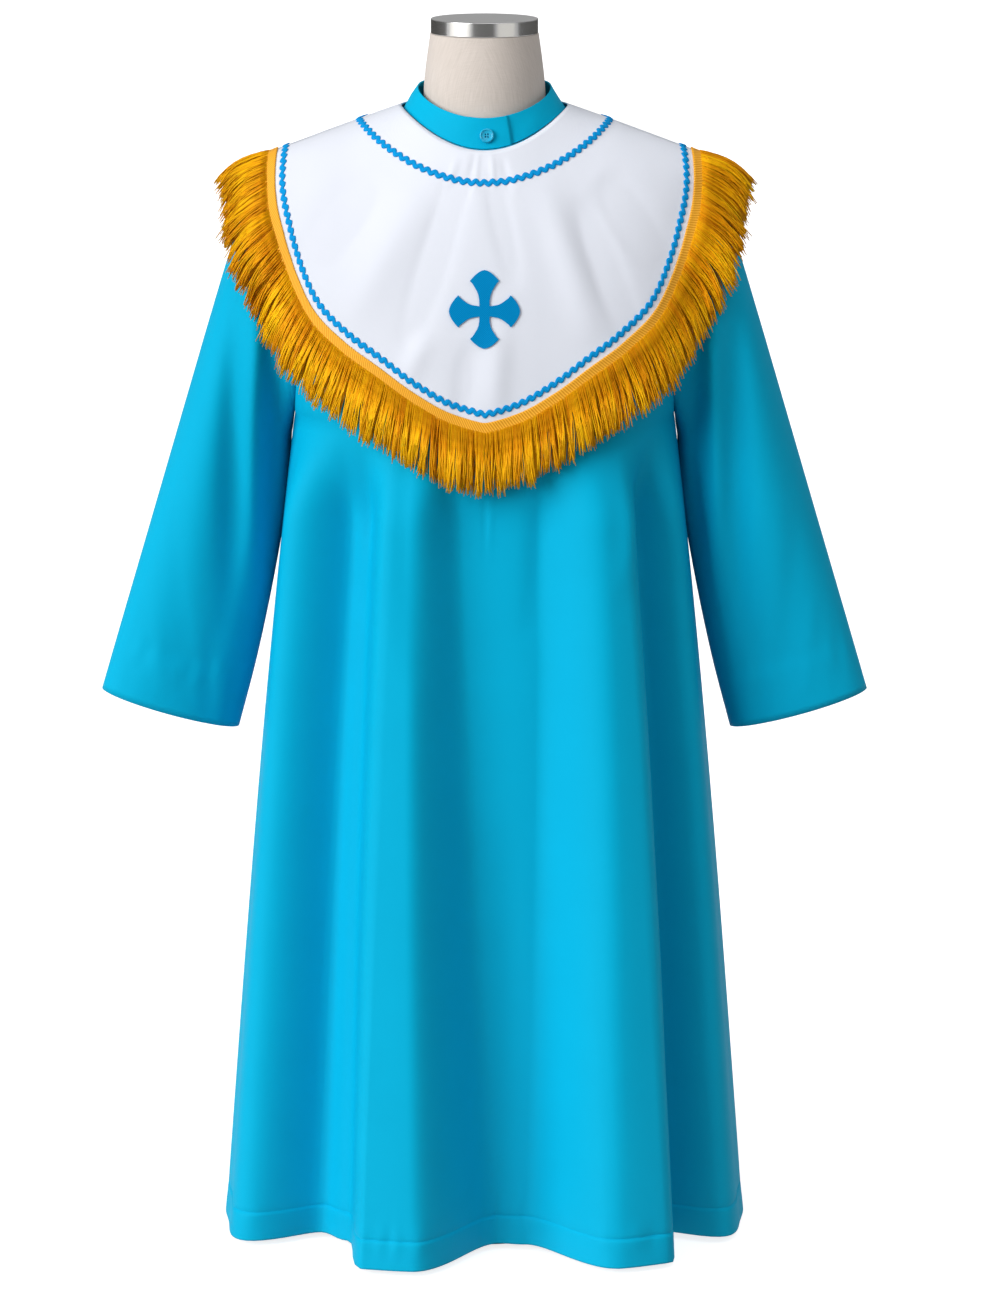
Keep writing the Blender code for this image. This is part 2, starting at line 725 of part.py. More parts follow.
def settle(sections, tree):
    """Lifts a strip's sections until its under side, their first two points, clears the cape."""
    for _ in range(6):
        for a, b in zip(sections, sections[1:]):
            deepest, lift = 0.0, None
            for i in range(5):
                low, high = a[0].co.lerp(b[0].co, i / 4), a[1].co.lerp(b[1].co, i / 4)
                for j in range(9):
                    point = low.lerp(high, j / 8)
                    nearest, normal, _, _ = tree.find_nearest(point)
                    short = 1.5 * LIE - (point - nearest).dot(normal)
                    if short > deepest:
                        deepest, lift = short, normal * short
            if lift:
                for vertex in (*a, *b):
                    vertex.co += Vector((lift.x, 0 if abs(vertex.co.y) < SEAM_REACH else lift.y, lift.z))


def braid(name, side, surface):
    """surface(angle, across, out) is a point of the cape beside the braid's line."""
    angles = even_angles(lambda angle, out: surface(angle, 0, out), BRAID_PITCH / 2)
    bm = bmesh.new()
    sections = []
    for i, angle in enumerate(angles):
        swing = BRAID_SWING if i % 2 else -BRAID_SWING
        low = surface(angle, swing - BRAID_WIDTH / 2, LIE)
        high = surface(angle, swing + BRAID_WIDTH / 2, LIE)
        top = surface(angle, swing, LIE + BRAID_RISE)
        sections.append([bm.verts.new(point) for point in (low, high, top)])
    settle(sections, cape_trees[side])
    for a, b in zip(sections, sections[1:]):
        for i in range(3):
            j = (i + 1) % 3
            bm.faces.new((a[i], a[j], b[j], b[i]))
    bm.faces.new(sections[0])
    bm.faces.new(sections[-1])
    bmesh.ops.recalc_face_normals(bm, faces=bm.faces)
    mesh = bpy.data.meshes.new(name)
    bm.to_mesh(mesh)
    bm.free()
    return add_object(name, mesh, braid_cotton)


for label, side in (("front", FRONT), ("back", BACK)):
    braid(
        f"neck_braid_{label}",
        side,
        lambda angle, across, out, side=side: round_neck(side, angle, across, out),
    )
    braid(
        f"edge_braid_{label}",
        side,
        lambda angle, across, out, side=side: from_edge(
            side, angle, WHITE_MARGIN + TAPE_WIDTH - across, out
        ),
    )

# Fringe: a heading tape along the cape's edge, with locks of yarn rooted in its outer side


def fringe(name, side, seed):
    rng = random.Random(seed)
    angles = even_angles(lambda angle, out: from_edge(side, angle, 0, out), 0.001)
    step = (len(angles) - 1) / LOCKS
    stops = [angles[round(i * step)] for i in range(LOCKS + 1)]
    bm = bmesh.new()
    sections = []
    for angle in stops:
        points = (
            from_edge(side, angle, TAPE_WIDTH, LIE),
            from_edge(side, angle, 0, LIE),
            from_edge(side, angle, 0, LIE + TAPE_THICK),
            from_edge(side, angle, TAPE_WIDTH, LIE + TAPE_THICK),
        )
        sections.append([bm.verts.new(point) for point in points])
    settle(sections, cape_trees[side])
    for a, b in zip(sections, sections[1:]):
        for i in (0, 2, 3):
            j = (i + 1) % 4
            bm.faces.new((a[i], a[j], b[j], b[i]))
        root = [a[1], a[2], b[2], b[1]]
        add_lock(bm, side, root, a[0].co, rng)
    bm.faces.new(sections[0])
    bm.faces.new(sections[-1])
    bmesh.ops.recalc_face_normals(bm, faces=bm.faces)
    mesh = bpy.data.meshes.new(name)
    bm.to_mesh(mesh)
    bm.free()
    return add_object(name, mesh, fringe_yarn, smooth=False)


def add_lock(bm, side, root, behind, rng):
    """One lock: it leaves the tape across its edge and bends down under its weight."""
    start = sum((v.co for v in root), Vector()) / 4
    across = (root[3].co - root[0].co).normalized()
    leaving = (root[0].co - behind).normalized()
    down = Vector((0, 0, -1))
    steep = leaving.dot(down)
    first = (leaving + down * mix(0.15, 0.70, max(steep, 0))).normalized()
    second = (leaving * mix(1.10, 0.28, max(steep, 0)) + down).normalized()
    length = LOCK_LENGTH * rng.uniform(0.94, 1.04)
    middle = start + first * length * 0.45
    tip = middle + second * length * 0.55
    middle = clear_of_robe(middle, LOCK_CLEAR)
    tip = clear_of_robe(tip, LOCK_CLEAR)
    tip += across * rng.uniform(-0.001, 0.001)
    ring = root
    for centre, narrow in ((middle, 1.0), (tip, 0.75)):
        along = (centre - start).normalized()
        wide = (across - along * across.dot(along)).normalized() * LOCK_WIDTH * narrow / 2
        thick = wide.cross(along).normalized() * LOCK_THICK * narrow / 2
        if thick.dot(root[1].co - root[0].co) < 0:
            thick = -thick
        corners = (-wide - thick, -wide + thick, wide + thick, wide - thick)
        new = [bm.verts.new(centre + corner) for corner in corners]
        for i in range(4):
            j = (i + 1) % 4
            bm.faces.new((ring[i], ring[j], new[j], new[i]))
        ring = new
    bm.faces.new(ring)


fringe("fringe_front", FRONT, 3)
fringe("fringe_back", BACK, 5)

# Cross: four flared arms round a small square, laid on the cape's front


def on_cape_front(x, z, out):
    """A point on the cape's front at x and z, moved out."""
    turn = turn_at_height(FRONT, x, z)
    point = yoke(FRONT, x, turn, CAPE_CLEAR + WALL)
    outward = (point - bare_yoke(FRONT, x, turn)).normalized()
    return cape_trees[FRONT].find_nearest(point)[0] + outward * out


def cross():
    bm = bmesh.new()
    steps = (-1, -0.5, 0, 0.5, 1)
    for k in range(4):
        turn = k * math.pi / 2
        rows = []
        for row in CROSS_ARM:
            line = []
            for step in steps:
                w = row.reach - (CROSS_END_DROP * step * step if row is CROSS_ARM[-1] else 0)
                u = step * row.half
                x = u * math.cos(turn) - w * math.sin(turn)
                z = u * math.sin(turn) + w * math.cos(turn)
                line.append(bm.verts.new(on_cape_front(x, CROSS_Z + z, 3 * LIE)))
            rows.append(line)
        middle = bm.verts.new(on_cape_front(0, CROSS_Z, 3 * LIE))
        for a, b in zip(rows[0], rows[0][1:]):
            bm.faces.new((middle, a, b))
        for lower, upper in zip(rows, rows[1:]):
            for i in range(len(steps) - 1):
                bm.faces.new((lower[i], lower[i + 1], upper[i + 1], upper[i]))
    bmesh.ops.remove_doubles(bm, verts=bm.verts, dist=0.0001)
    bmesh.ops.recalc_face_normals(bm, faces=bm.faces)
    if sum((face.normal.y for face in bm.faces)) > 0:
        bmesh.ops.reverse_faces(bm, faces=bm.faces)
    mesh = bpy.data.meshes.new("cross_applique")
    bm.to_mesh(mesh)
    bm.free()
    obj = add_object("cross_applique", mesh, cross_cloth)
    thicken = obj.modifiers.new("cloth", "SOLIDIFY")
    thicken.thickness = CROSS_THICK
    thicken.offset = 1
    return obj


cross()

# Dress form: a smooth torso and neck in one, a metal neck cap, a pole and a round base


def form_reach(angle, z):
    """Distance of the form's surface from its axis; angle is 0 at the front."""
    side = FRONT if math.cos(angle) >= 0 else BACK
    across, deep = abs(math.sin(angle)), abs(math.cos(angle))
    if z <= UNDERARM_Z:
        places = [row.z for row in FORM_ROWS]
        half = smooth_table(places, [row.half for row in FORM_ROWS], z)
        depths = [row.front if side is FRONT else row.back for row in FORM_ROWS]
        depth = smooth_table(places, depths, z)
        return ((across / half) ** 2.4 + (deep / depth) ** 2.4) ** (-1 / 2.4)
    share = min(1.0, (z - UNDERARM_Z) / 0.2)
    half = mix(FORM_HALF_CHEST, FORM_HALF_SHOULDER, share * share * (3 - 2 * share))
    low, high = 0.0, half
    for _ in range(40):
        reach = (low + high) / 2
        x = reach * across
        inset = FORM_INSET * max(1.0, 3.6 - x / NECK_HALF)
        height = (z - UNDERARM_Z) / (ridge(x) - inset - UNDERARM_Z)
        full = fullness(x) * max(0.0, 1 - (x / half) ** 4) ** 0.4
        inside = height < 1 and reach * deep < (side.depth - FORM_SLIMMER) * full * (
            1 - height**side.power
        ) ** (1 / side.power)
        low, high = (reach, high) if inside else (low, reach)
    neck = smooth_table([row.z for row in NECK_ROWS], [row.radius for row in NECK_ROWS], z)
    if z < NECK_ROWS[0].z:
        return low
    return (low**NECK_BLEND + neck**NECK_BLEND) ** (1 / NECK_BLEND)


FORM_POINTS = 24
FORM_LEVELS = (
    0.420, 0.440, 0.500, 0.580, 0.660, 0.740, 0.805, 0.860, 0.920, 0.970,
    1.010, 1.040, 1.056, 1.066, 1.076, 1.086, 1.098, 1.118, 1.142, 1.1677,
)


def dress_form():
    rows = []
    for z in FORM_LEVELS:
        row = []
        for i in range(FORM_POINTS):
            angle = 2 * math.pi * i / FORM_POINTS
            reach = form_reach(angle, z)
            row.append(Vector((reach * math.sin(angle), -reach * math.cos(angle), z)))
        rows.append(row)
    mesh = grid_mesh("form_body", rows, closed=True)
    bm = bmesh.new()
    bm.from_mesh(mesh)
    bmesh.ops.holes_fill(bm, edges=[edge for edge in bm.edges if edge.is_boundary])
    bmesh.ops.recalc_face_normals(bm, faces=bm.faces)
    bm.to_mesh(mesh)
    bm.free()
    obj = add_object("form_body", mesh, form_linen)
    mesh.set_sharp_from_angle(angle=math.radians(50))
    return obj


def turned(name, profile, steps, material):
    """A turned piece; its profile runs down its outer side, as radius and height."""
    mesh = bpy.data.meshes.new(name)
    points = [(radius, 0, z) for radius, z in profile]
    mesh.from_pydata(points, [(i, i + 1) for i in range(len(points) - 1)], [])
    obj = add_object(name, mesh, material, smooth=False)
    spin = obj.modifiers.new("turning", "SCREW")
    spin.steps = steps
    spin.render_steps = steps
    spin.use_merge_vertices = True
    spin.merge_threshold = 0.0001
    spin.use_smooth_shade = True
    return obj


dress_form()
cap_low = NECK_TOP_Z + LIE
cap_high = cap_low + CAP_HEIGHT
turned(
    "form_neck_cap",
    (
        (0, cap_high),
        (CAP_RADIUS - 0.0015, cap_high),
        (CAP_RADIUS, cap_high - 0.0015),
        (CAP_RADIUS, cap_low),
        (0, cap_low),
    ),
    32,
    bright_metal,
)
turned(
    "form_pole",
    (
        (0, FORM_BOTTOM - LIE),
        (POLE_RADIUS, FORM_BOTTOM - LIE),
        (POLE_RADIUS, BASE_MIDDLE + LIE),
        (0, BASE_MIDDLE + LIE),
    ),
    20,
    bright_metal,
)
turned(
    "form_base",
    (
        (0, BASE_MIDDLE),
        (2 * POLE_RADIUS, BASE_MIDDLE),
        (BASE_RADIUS - 0.004, BASE_EDGE),
        (BASE_RADIUS, BASE_EDGE - 0.003),
        (BASE_RADIUS, 0),
        (0, 0),
    ),
    36,
    dark_metal,
)
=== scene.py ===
"""Altar server robe under a fringed shoulder cape, worn by a limbless dress form.

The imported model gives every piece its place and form. This script gives each one its cloth,
yarn, metal or resin, with finer folds, seams and hems. Metres, +Z up, the front faces -Y.
"""

import math
import random
from collections import namedtuple

import bmesh
import bpy
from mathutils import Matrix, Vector, noise
from mathutils.bvhtree import BVHTree


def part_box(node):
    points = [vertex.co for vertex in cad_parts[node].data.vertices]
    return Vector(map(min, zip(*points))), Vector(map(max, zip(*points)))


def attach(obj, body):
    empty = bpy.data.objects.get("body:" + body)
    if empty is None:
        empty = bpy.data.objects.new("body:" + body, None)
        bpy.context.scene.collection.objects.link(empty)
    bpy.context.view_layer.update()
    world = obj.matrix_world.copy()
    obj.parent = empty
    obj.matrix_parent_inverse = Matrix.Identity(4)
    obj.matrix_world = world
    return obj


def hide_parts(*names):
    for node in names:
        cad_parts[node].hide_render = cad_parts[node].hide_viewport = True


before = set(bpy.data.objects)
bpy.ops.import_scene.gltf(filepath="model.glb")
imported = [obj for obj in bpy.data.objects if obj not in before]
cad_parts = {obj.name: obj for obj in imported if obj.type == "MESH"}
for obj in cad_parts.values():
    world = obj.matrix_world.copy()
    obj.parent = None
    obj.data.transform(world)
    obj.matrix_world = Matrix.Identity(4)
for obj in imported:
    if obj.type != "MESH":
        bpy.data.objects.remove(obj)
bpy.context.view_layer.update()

# Camera: in front of the robe and a little above it, looking down at it, with a long lens.
# The robe's axis stands a little left of the picture's middle.
CAMERA_DISTANCE = 5.0
CAMERA_HEIGHT = 1.65
CAMERA_DOWN = math.radians(12.15)
CAMERA_LENS = 146.7
PICTURE_HEIGHT = 1293
AXIS_LEFT_OF_MIDDLE = 15.5

camera_data = bpy.data.cameras.new("camera")
camera_data.lens = CAMERA_LENS
camera_data.sensor_width = 36
camera_data.shift_x = AXIS_LEFT_OF_MIDDLE / PICTURE_HEIGHT
camera = bpy.data.objects.new("camera", camera_data)
camera.location = (0, -CAMERA_DISTANCE, CAMERA_HEIGHT)
camera.rotation_euler = (math.pi / 2 - CAMERA_DOWN, 0, 0)
bpy.context.scene.collection.objects.link(camera)
bpy.context.scene.camera = camera
bpy.context.scene.view_settings.view_transform = "Standard"


# Studio: a white paper floor, lit from behind past the robe, under an even white surround. A
# tall window on the left gives each fold a bright and a shaded side, and a skylight fills them.
FLOOR_HALF = 20.0
FLOOR_DROP = 0.0005
BACKLIGHT_FROM, BACKLIGHT_FULL, BACKLIGHT_GLOW = -0.9, -0.35, 0.80
SURROUND_GLOW = 0.32


def linear(code):
    """A linear colour from an sRGB hex value."""
    channels = [int(code[i : i + 2], 16) / 255 for i in (0, 2, 4)]
    curve = [c / 12.92 if c <= 0.04045 else ((c + 0.055) / 1.055) ** 2.4 for c in channels]
    return (*curve, 1.0)


def add_node(tree, kind, inputs=None, **settings):
    """Adds a node, sets its properties, and fills or links its inputs."""
    node = tree.nodes.new(kind)
    for name, value in settings.items():
        setattr(node, name, value)
    for name, value in (inputs or {}).items():
        if isinstance(value, bpy.types.NodeSocket):
            tree.links.new(value, node.inputs[name])
        else:
            node.inputs[name].default_value = value
    return node


def new_material(name, **values):
    """A material with a Principled shader; returns it with its tree and its shader."""
    material = bpy.data.materials.new(name)
    material.use_nodes = True
    shader = material.node_tree.nodes["Principled BSDF"]
    for socket, value in values.items():
        shader.inputs[socket.replace("_", " ")].default_value = value
    return material, material.node_tree, shader


bpy.ops.mesh.primitive_plane_add(size=2 * FLOOR_HALF, location=(0, 0, -FLOOR_DROP))
floor = bpy.context.object
floor.name = "paper_floor"
floor_paper, tree, shader = new_material(
    "backlit background paper",
    Base_Color=linear("C8C8C8"),
    Roughness=0.9,
    Emission_Color=linear("FFFFFF"),
)
place = add_node(tree, "ShaderNodeTexCoord").outputs["Object"]
depth = add_node(tree, "ShaderNodeSeparateXYZ", {"Vector": place}).outputs["Y"]
reach = {"From Min": BACKLIGHT_FROM, "From Max": BACKLIGHT_FULL, "To Max": BACKLIGHT_GLOW}
backlight = add_node(tree, "ShaderNodeMapRange", {"Value": depth, **reach})
tree.links.new(backlight.outputs["Result"], shader.inputs["Emission Strength"])
floor.data.materials.append(floor_paper)
floor.visible_diffuse = False

world = bpy.data.worlds.new("studio")
bpy.context.scene.world = world
world.use_nodes = True
surround = world.node_tree.nodes["Background"].inputs
surround["Color"].default_value = linear("FFFFFF")
surround["Strength"].default_value = SURROUND_GLOW

# Cards that stand on the floor, out of view: the steel rim of the neck cap mirrors them as
# upright bands. Each spans the turn from start to end, in degrees from the front.
Card = namedtuple("Card", "name start end glow")
CARD_DISTANCE = 6.0
CARD_HEIGHT = 1.1
CARDS = (
    Card("black card behind on the left", -178, -88, 0.07),
    Card("white card on the left", -80, -32, 1.3),
    Card("black card in front", -26, 22, 0.09),
    Card("cream card on the right", 28, 68, 0.85),
    Card("black card behind on the right", 78, 178, 0.08),
)
for card in CARDS:
    middle = math.radians((card.start + card.end) / 2)
    half_turn = math.radians((card.end - card.start) / 2)
    reach = CARD_DISTANCE * math.cos(half_turn)
    spot = (reach * math.sin(middle), -reach * math.cos(middle), CARD_HEIGHT / 2)
    bpy.ops.mesh.primitive_plane_add(size=1, location=spot, rotation=(math.pi / 2, 0, middle))
    board = bpy.context.object
    board.name = card.name.replace(" ", "_")
    board.scale = (2 * CARD_DISTANCE * math.sin(half_turn), CARD_HEIGHT, 1)
    card_paint, tree, shader = new_material(
        f"{card.name}, matt board",
        Base_Color=linear("101010"),
        Roughness=1.0,
        Specular_IOR_Level=0.0,
        Emission_Color=linear("FFFCF4"),
        Emission_Strength=card.glow,
    )
    board.data.materials.append(card_paint)
    board.visible_camera = board.visible_diffuse = board.visible_shadow = False

Window = namedtuple("Window", "name towards energy spread")
WINDOWS = (
    Window("tall window on the left", (0.745, 0.555, -0.34), 3.05, 42),
    Window("skylight", (-0.30, 0.42, -0.86), 0.75, 70),
)
for window in WINDOWS:
    light = bpy.data.lights.new(window.name, "SUN")
    light.energy = window.energy
    light.angle = math.radians(window.spread)
    holder = bpy.data.objects.new(window.name, light)
    holder.rotation_euler = Vector(window.towards).to_track_quat("-Z", "Y").to_euler()
    bpy.context.scene.collection.objects.link(holder)


# Robe shape: the yoke and the skirt that all the cloth follows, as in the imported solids. The
# yoke is the part above the underarm; its turn is 0 there and a quarter turn on the shoulder.
WALL = 0.0012
SEAM = 0.0001
HEM_Z = 0.006
UNDERARM_Z = 0.805
UNDERARM_HALF = 0.182
HEM_HALF = 0.2558
SIDE_BULGE = 0.0045
SECTION_SQUARE = 0.87
FOLDS_START = 0.12
FOLDS_GROW = 1.1
ARMHOLE_SCOOP = 0.012
ARMHOLE_TURN = math.radians(18)
NECK_HALF = 0.0765
NECK_Z = 1.097
NECK_ROUND = 0.04
SHOULDER_SLOPE = 0.377
REACH = 0.235
REACH_SQUARE = 2.6
REACH_SOFT = 0.625

Side = namedtuple("Side", "name sign depth hem_depth power neck cape_neck folds")
Fold = namedtuple("Fold", "line high low high_out low_out")
FRONT_FOLDS = (
    Fold("seam, viewer's left", -1.0, -1.0, 0.0, 0.0),
    Fold("crest beside the seam", -0.90, -0.87, 0.018, 0.024),
    Fold("first trough", -0.72, -0.69, -0.031, -0.042),
    Fold("foot of the left fold", -0.65, -0.56, -0.030, -0.028),
    Fold("crest of the left fold", -0.45, -0.41, 0.018, 0.050),
    Fold("right side of that crest", -0.37, -0.25, 0.018, 0.051),
    Fold("wide middle trough", -0.14, 0.06, -0.018, -0.037),
    Fold("right side of that trough", 0.28, 0.16, -0.014, -0.033),
    Fold("crest of the right fold", 0.58, 0.46, 0.020, 0.052),
    Fold("right side of that crest", 0.66, 0.62, 0.020, 0.050),
    Fold("last trough", 0.85, 0.75, -0.030, -0.036),
    Fold("crest beside the seam", 0.95, 0.89, 0.006, 0.016),
    Fold("seam, viewer's right", 1.0, 1.0, 0.0, 0.0),
)
BACK_FOLDS = (
    Fold("seam, viewer's left", -1.0, -1.0, 0.0, 0.0),
    Fold("crest beside the seam", -0.88, -0.86, 0.006, 0.014),
    Fold("first trough", -0.66, -0.64, -0.009, -0.026),
    Fold("crest of the left fold", -0.36, -0.40, 0.011, 0.034),
    Fold("left middle trough", -0.12, -0.16, -0.007, -0.024),
    Fold("middle fold", 0.10, 0.06, 0.006, 0.022),
    Fold("right middle trough", 0.30, 0.27, -0.008, -0.028),
    Fold("crest of the right fold", 0.52, 0.50, 0.011, 0.036),
    Fold("last trough", 0.74, 0.71, -0.008, -0.022),
    Fold("crest beside the seam", 0.90, 0.88, 0.006, 0.014),
    Fold("seam, viewer's right", 1.0, 1.0, 0.0, 0.0),
)
FRONT = Side("front", -1, 0.125, 0.155, 2.17, 0.0730, 0.0743, FRONT_FOLDS)
BACK = Side("back", 1, 0.110, 0.150, 2.80, 0.0640, 0.0653, BACK_FOLDS)


def mix(low, high, share):
    return low + (high - low) * share


def smooth_table(places, values, at):
    """The value at a place of a table, on a smooth line through its rows."""
    at = min(max(at, places[0]), places[-1])
    k = 0
    while k < len(places) - 2 and at > places[k + 1]:
        k += 1
    span = places[k + 1] - places[k]
    share = (at - places[k]) / span
    before, after = max(k - 1, 0), min(k + 2, len(places) - 1)
    slope_in = (values[k + 1] - values[before]) / (places[k + 1] - places[before]) * span
    slope_out = (values[after] - values[k]) / (places[after] - places[k]) * span
    a, b = share * share * (3 - 2 * share), share * (1 - share)
    return mix(values[k], values[k + 1], a) + b * ((1 - share) * slope_in - share * slope_out)


def ridge(x):
    """Height of the shoulder line at x."""
    return NECK_Z - SHOULDER_SLOPE * (
        math.hypot(x, NECK_ROUND) - math.hypot(NECK_HALF, NECK_ROUND)
    )


def fullness(x):
    """Share of the chest's depth that is left at x."""
    return max(0.0, 1 - (abs(x) / REACH) ** REACH_SQUARE) ** REACH_SOFT


def bare_yoke(side, x, turn):
    power = 2 / side.power
    y = side.sign * side.depth * fullness(x) * max(0.0, math.cos(turn)) ** power
    rise = math.copysign(abs(math.sin(turn)) ** power, turn)
    return Vector((x, y, UNDERARM_Z + (ridge(x) - UNDERARM_Z) * rise))


def yoke(side, x, turn, out):
    """A yoke point moved out along the surface's normal."""
    here = bare_yoke(side, x, turn)
    along = bare_yoke(side, x + 0.0005, turn) - bare_yoke(side, x - 0.0005, turn)
    low, high = turn - 0.002, min(turn + 0.002, math.pi / 2)
    up = bare_yoke(side, x, high) - bare_yoke(side, x, low)
    return here + along.cross(up).normalized() * -side.sign * out


def turn_at_height(side, x, z):
    share = (z - UNDERARM_Z) / (ridge(x) - UNDERARM_Z)
    return math.copysign(math.asin(min(abs(share), 1.0) ** (side.power / 2)), share)


def turn_at_depth(side, x, depth):
    share = depth / (side.depth * fullness(x))
    return math.acos(min(max(share, 0.0), 1.0) ** (side.power / 2))


# Dress form, base and pole: a round steel plate with a satin black powder coat, pressed with a
# low cone, and a chromed steel tube that stands in its middle. The hem hides both.
POWDER_GRAIN = 0.0012
BASE_EDGE = 0.007


def add_relief(tree, shader, height, strength, distance):
    """Raises and lowers the light on a surface by a pattern."""
    values = {"Height": height, "Strength": strength, "Distance": distance}
    bump = add_node(tree, "ShaderNodeBump", values)
    tree.links.new(bump.outputs["Normal"], shader.inputs["Normal"])


powder_coat, tree, shader = new_material(
    "satin powder coat", Base_Color=linear("46484C"), Roughness=0.45
)
place = add_node(tree, "ShaderNodeTexCoord").outputs["Object"]
grain = add_node(tree, "ShaderNodeTexNoise", {"Vector": place, "Scale": 1 / POWDER_GRAIN})
add_relief(tree, shader, grain.outputs["Fac"], 0.15, 0.0002)


def select_only(obj):
    """Makes an object the only selected one, and the active one."""
    bpy.ops.object.select_all(action="DESELECT")
    obj.select_set(True)
    bpy.context.view_layer.objects.active = obj


def put_in_place(obj):
    """Moves an object's place, turn and scale into its mesh."""
    select_only(obj)
    bpy.ops.object.transform_apply(location=True, rotation=True, scale=True)


def finish_piece(obj, slot, *nodes):
    """Ties a finished piece to the part and hides the solids it stands for; slot is not used."""
    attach(obj, "root")
    if nodes:
        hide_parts(*nodes)


def inset_faces(obj, chosen, steps):
    """Insets the chosen faces step by step, raising each by its second number."""
    bpy.ops.object.mode_set(mode="EDIT")
    bpy.ops.mesh.select_all(action="DESELECT")
    bm = bmesh.from_edit_mesh(obj.data)
    for face in bm.faces:
        face.select_set(chosen(face))
    bmesh.update_edit_mesh(obj.data)
    for inset, rise in steps:
        bpy.ops.mesh.inset(thickness=inset, depth=0)
        if rise:
            bpy.ops.transform.translate(value=(0, 0, rise))
    bpy.ops.object.mode_set(mode="OBJECT")


def round_top(face):
    return face.normal.z > 0.99 and len(face.verts) > 4


def turned_piece(name, low, high, radius, rim, material, slot, vertices=96):
    """A round piece: a cylinder whose top and bottom edges are bevelled."""
    spot = (0, 0, (low + high) / 2)
    bpy.ops.mesh.primitive_cylinder_add(
        vertices=vertices, radius=radius, depth=high - low, location=spot
    )
    obj = bpy.context.object
    obj.name = name
    bevel = obj.modifiers.new("rounded rims", "BEVEL")
    bevel.width = rim
    bevel.segments = 4
    bevel.limit_method = "ANGLE"
    bpy.ops.object.modifier_apply(modifier=bevel.name)
    inset_faces(obj, lambda face: abs(face.normal.z) < 0.01, ((rim / 3, 0.0),))
    put_in_place(obj)
    obj.data.materials.append(material)
    bpy.ops.object.shade_smooth_by_angle(angle=math.radians(40))
    finish_piece(obj, slot, name)
    return obj


base_low, base_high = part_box("form_base")
plate = turned_piece("form_base", base_low.z, BASE_EDGE, base_high.x, 0.0012, powder_coat, "base")
inset_faces(plate, round_top, ((0.003, 0.0), (0.075, base_high.z - BASE_EDGE)))

chrome, tree, shader = new_material(
    "polished chrome", Base_Color=linear("E2E2E3"), Metallic=1.0, Roughness=0.20
)
pole_low, pole_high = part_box("form_pole")
turned_piece("form_pole", pole_low.z, pole_high.z, pole_high.x, 0.0006, chrome, "pole", 48)


# Dress form, torso and neck: a foam bust drawn tight in natural linen, smooth and seamless at
# the neck. Its threads run straight up the neck and show as a faint vertical grain.
FORM_BOTTOM = 0.42
FORM_INSET = 0.0027
FORM_SLIMMER = 0.015
FORM_HALF_CHEST = 0.146
FORM_HALF_SHOULDER = 0.169
NECK_TOP_Z = 1.1677
NECK_BLEND = 12
FormRow = namedtuple("FormRow", "z half front back")
FORM_ROWS = (
    FormRow(0.420, 0.128, 0.090, 0.088),
    FormRow(0.440, 0.136, 0.098, 0.096),
    FormRow(0.500, 0.140, 0.101, 0.100),
    FormRow(0.580, 0.130, 0.096, 0.092),
    FormRow(0.660, 0.125, 0.097, 0.088),
    FormRow(0.740, 0.136, 0.105, 0.094),
    FormRow(0.805, 0.146, 0.113, 0.098),
)
NeckRow = namedtuple("NeckRow", "z radius")
NECK_ROWS = (
    NeckRow(1.030, 0.0590),
    NeckRow(1.080, 0.0585),
    NeckRow(1.118, 0.0575),
    NeckRow(1.142, 0.0550),
    NeckRow(1.1677, 0.0514),
)
FORM_SQUARE = 2.4
FORM_TAPER = 0.4
FORM_BLEND = 0.2
NECK_INSET = 3.6
FORM_COLUMNS = 96
FORM_STEP = 0.0085
LINEN_THREAD = 0.0011
linen, tree, shader = new_material(
    "natural linen", Roughness=0.9, Sheen_Weight=0.15, Specular_IOR_Level=0.2
)
uv = add_node(tree, "ShaderNodeTexCoord").outputs["UV"]
slubs = []
for stretch in ((1.0, 0.06, 1.0), (0.08, 1.0, 1.0)):
    along = add_node(tree, "ShaderNodeMapping", {"Vector": uv, "Scale": stretch}).outputs["Vector"]
    grain = {"Vector": along, "Scale": 1 / LINEN_THREAD, "Detail": 3.0}
    slubs.append(add_node(tree, "ShaderNodeTexNoise", grain).outputs["Fac"])
weave = add_node(tree, "ShaderNodeMix", {"Factor": 0.35, "A": slubs[0], "B": slubs[1]})


def add_colours(tree, shader, factor, low, high, low_at=0.0, high_at=1.0):
    """Colours a surface between two sRGB hex colours by a pattern."""
    ramp = add_node(tree, "ShaderNodeValToRGB", {"Fac": factor})
    for stop, at, code in zip(ramp.color_ramp.elements, (low_at, high_at), (low, high)):
        stop.position, stop.color = at, linear(code)
    tree.links.new(ramp.outputs["Color"], shader.inputs["Base Color"])


add_colours(tree, shader, weave.outputs["Result"], "C6BCB3", "D6CCC4", 0.3, 0.7)
add_relief(tree, shader, weave.outputs["Result"], 0.35, 0.0004)


def grid_faces(count, width, closed, start=0):
    """Faces of a grid of points; a closed grid joins its last column to its first."""
    faces = []
    for i in range(count - 1):
        low, high = start + i * width, start + (i + 1) * width
        for j in range(width if closed else width - 1):
            k = (j + 1) % width
            faces.append((low + j, low + k, high + k, high + j))
    return faces


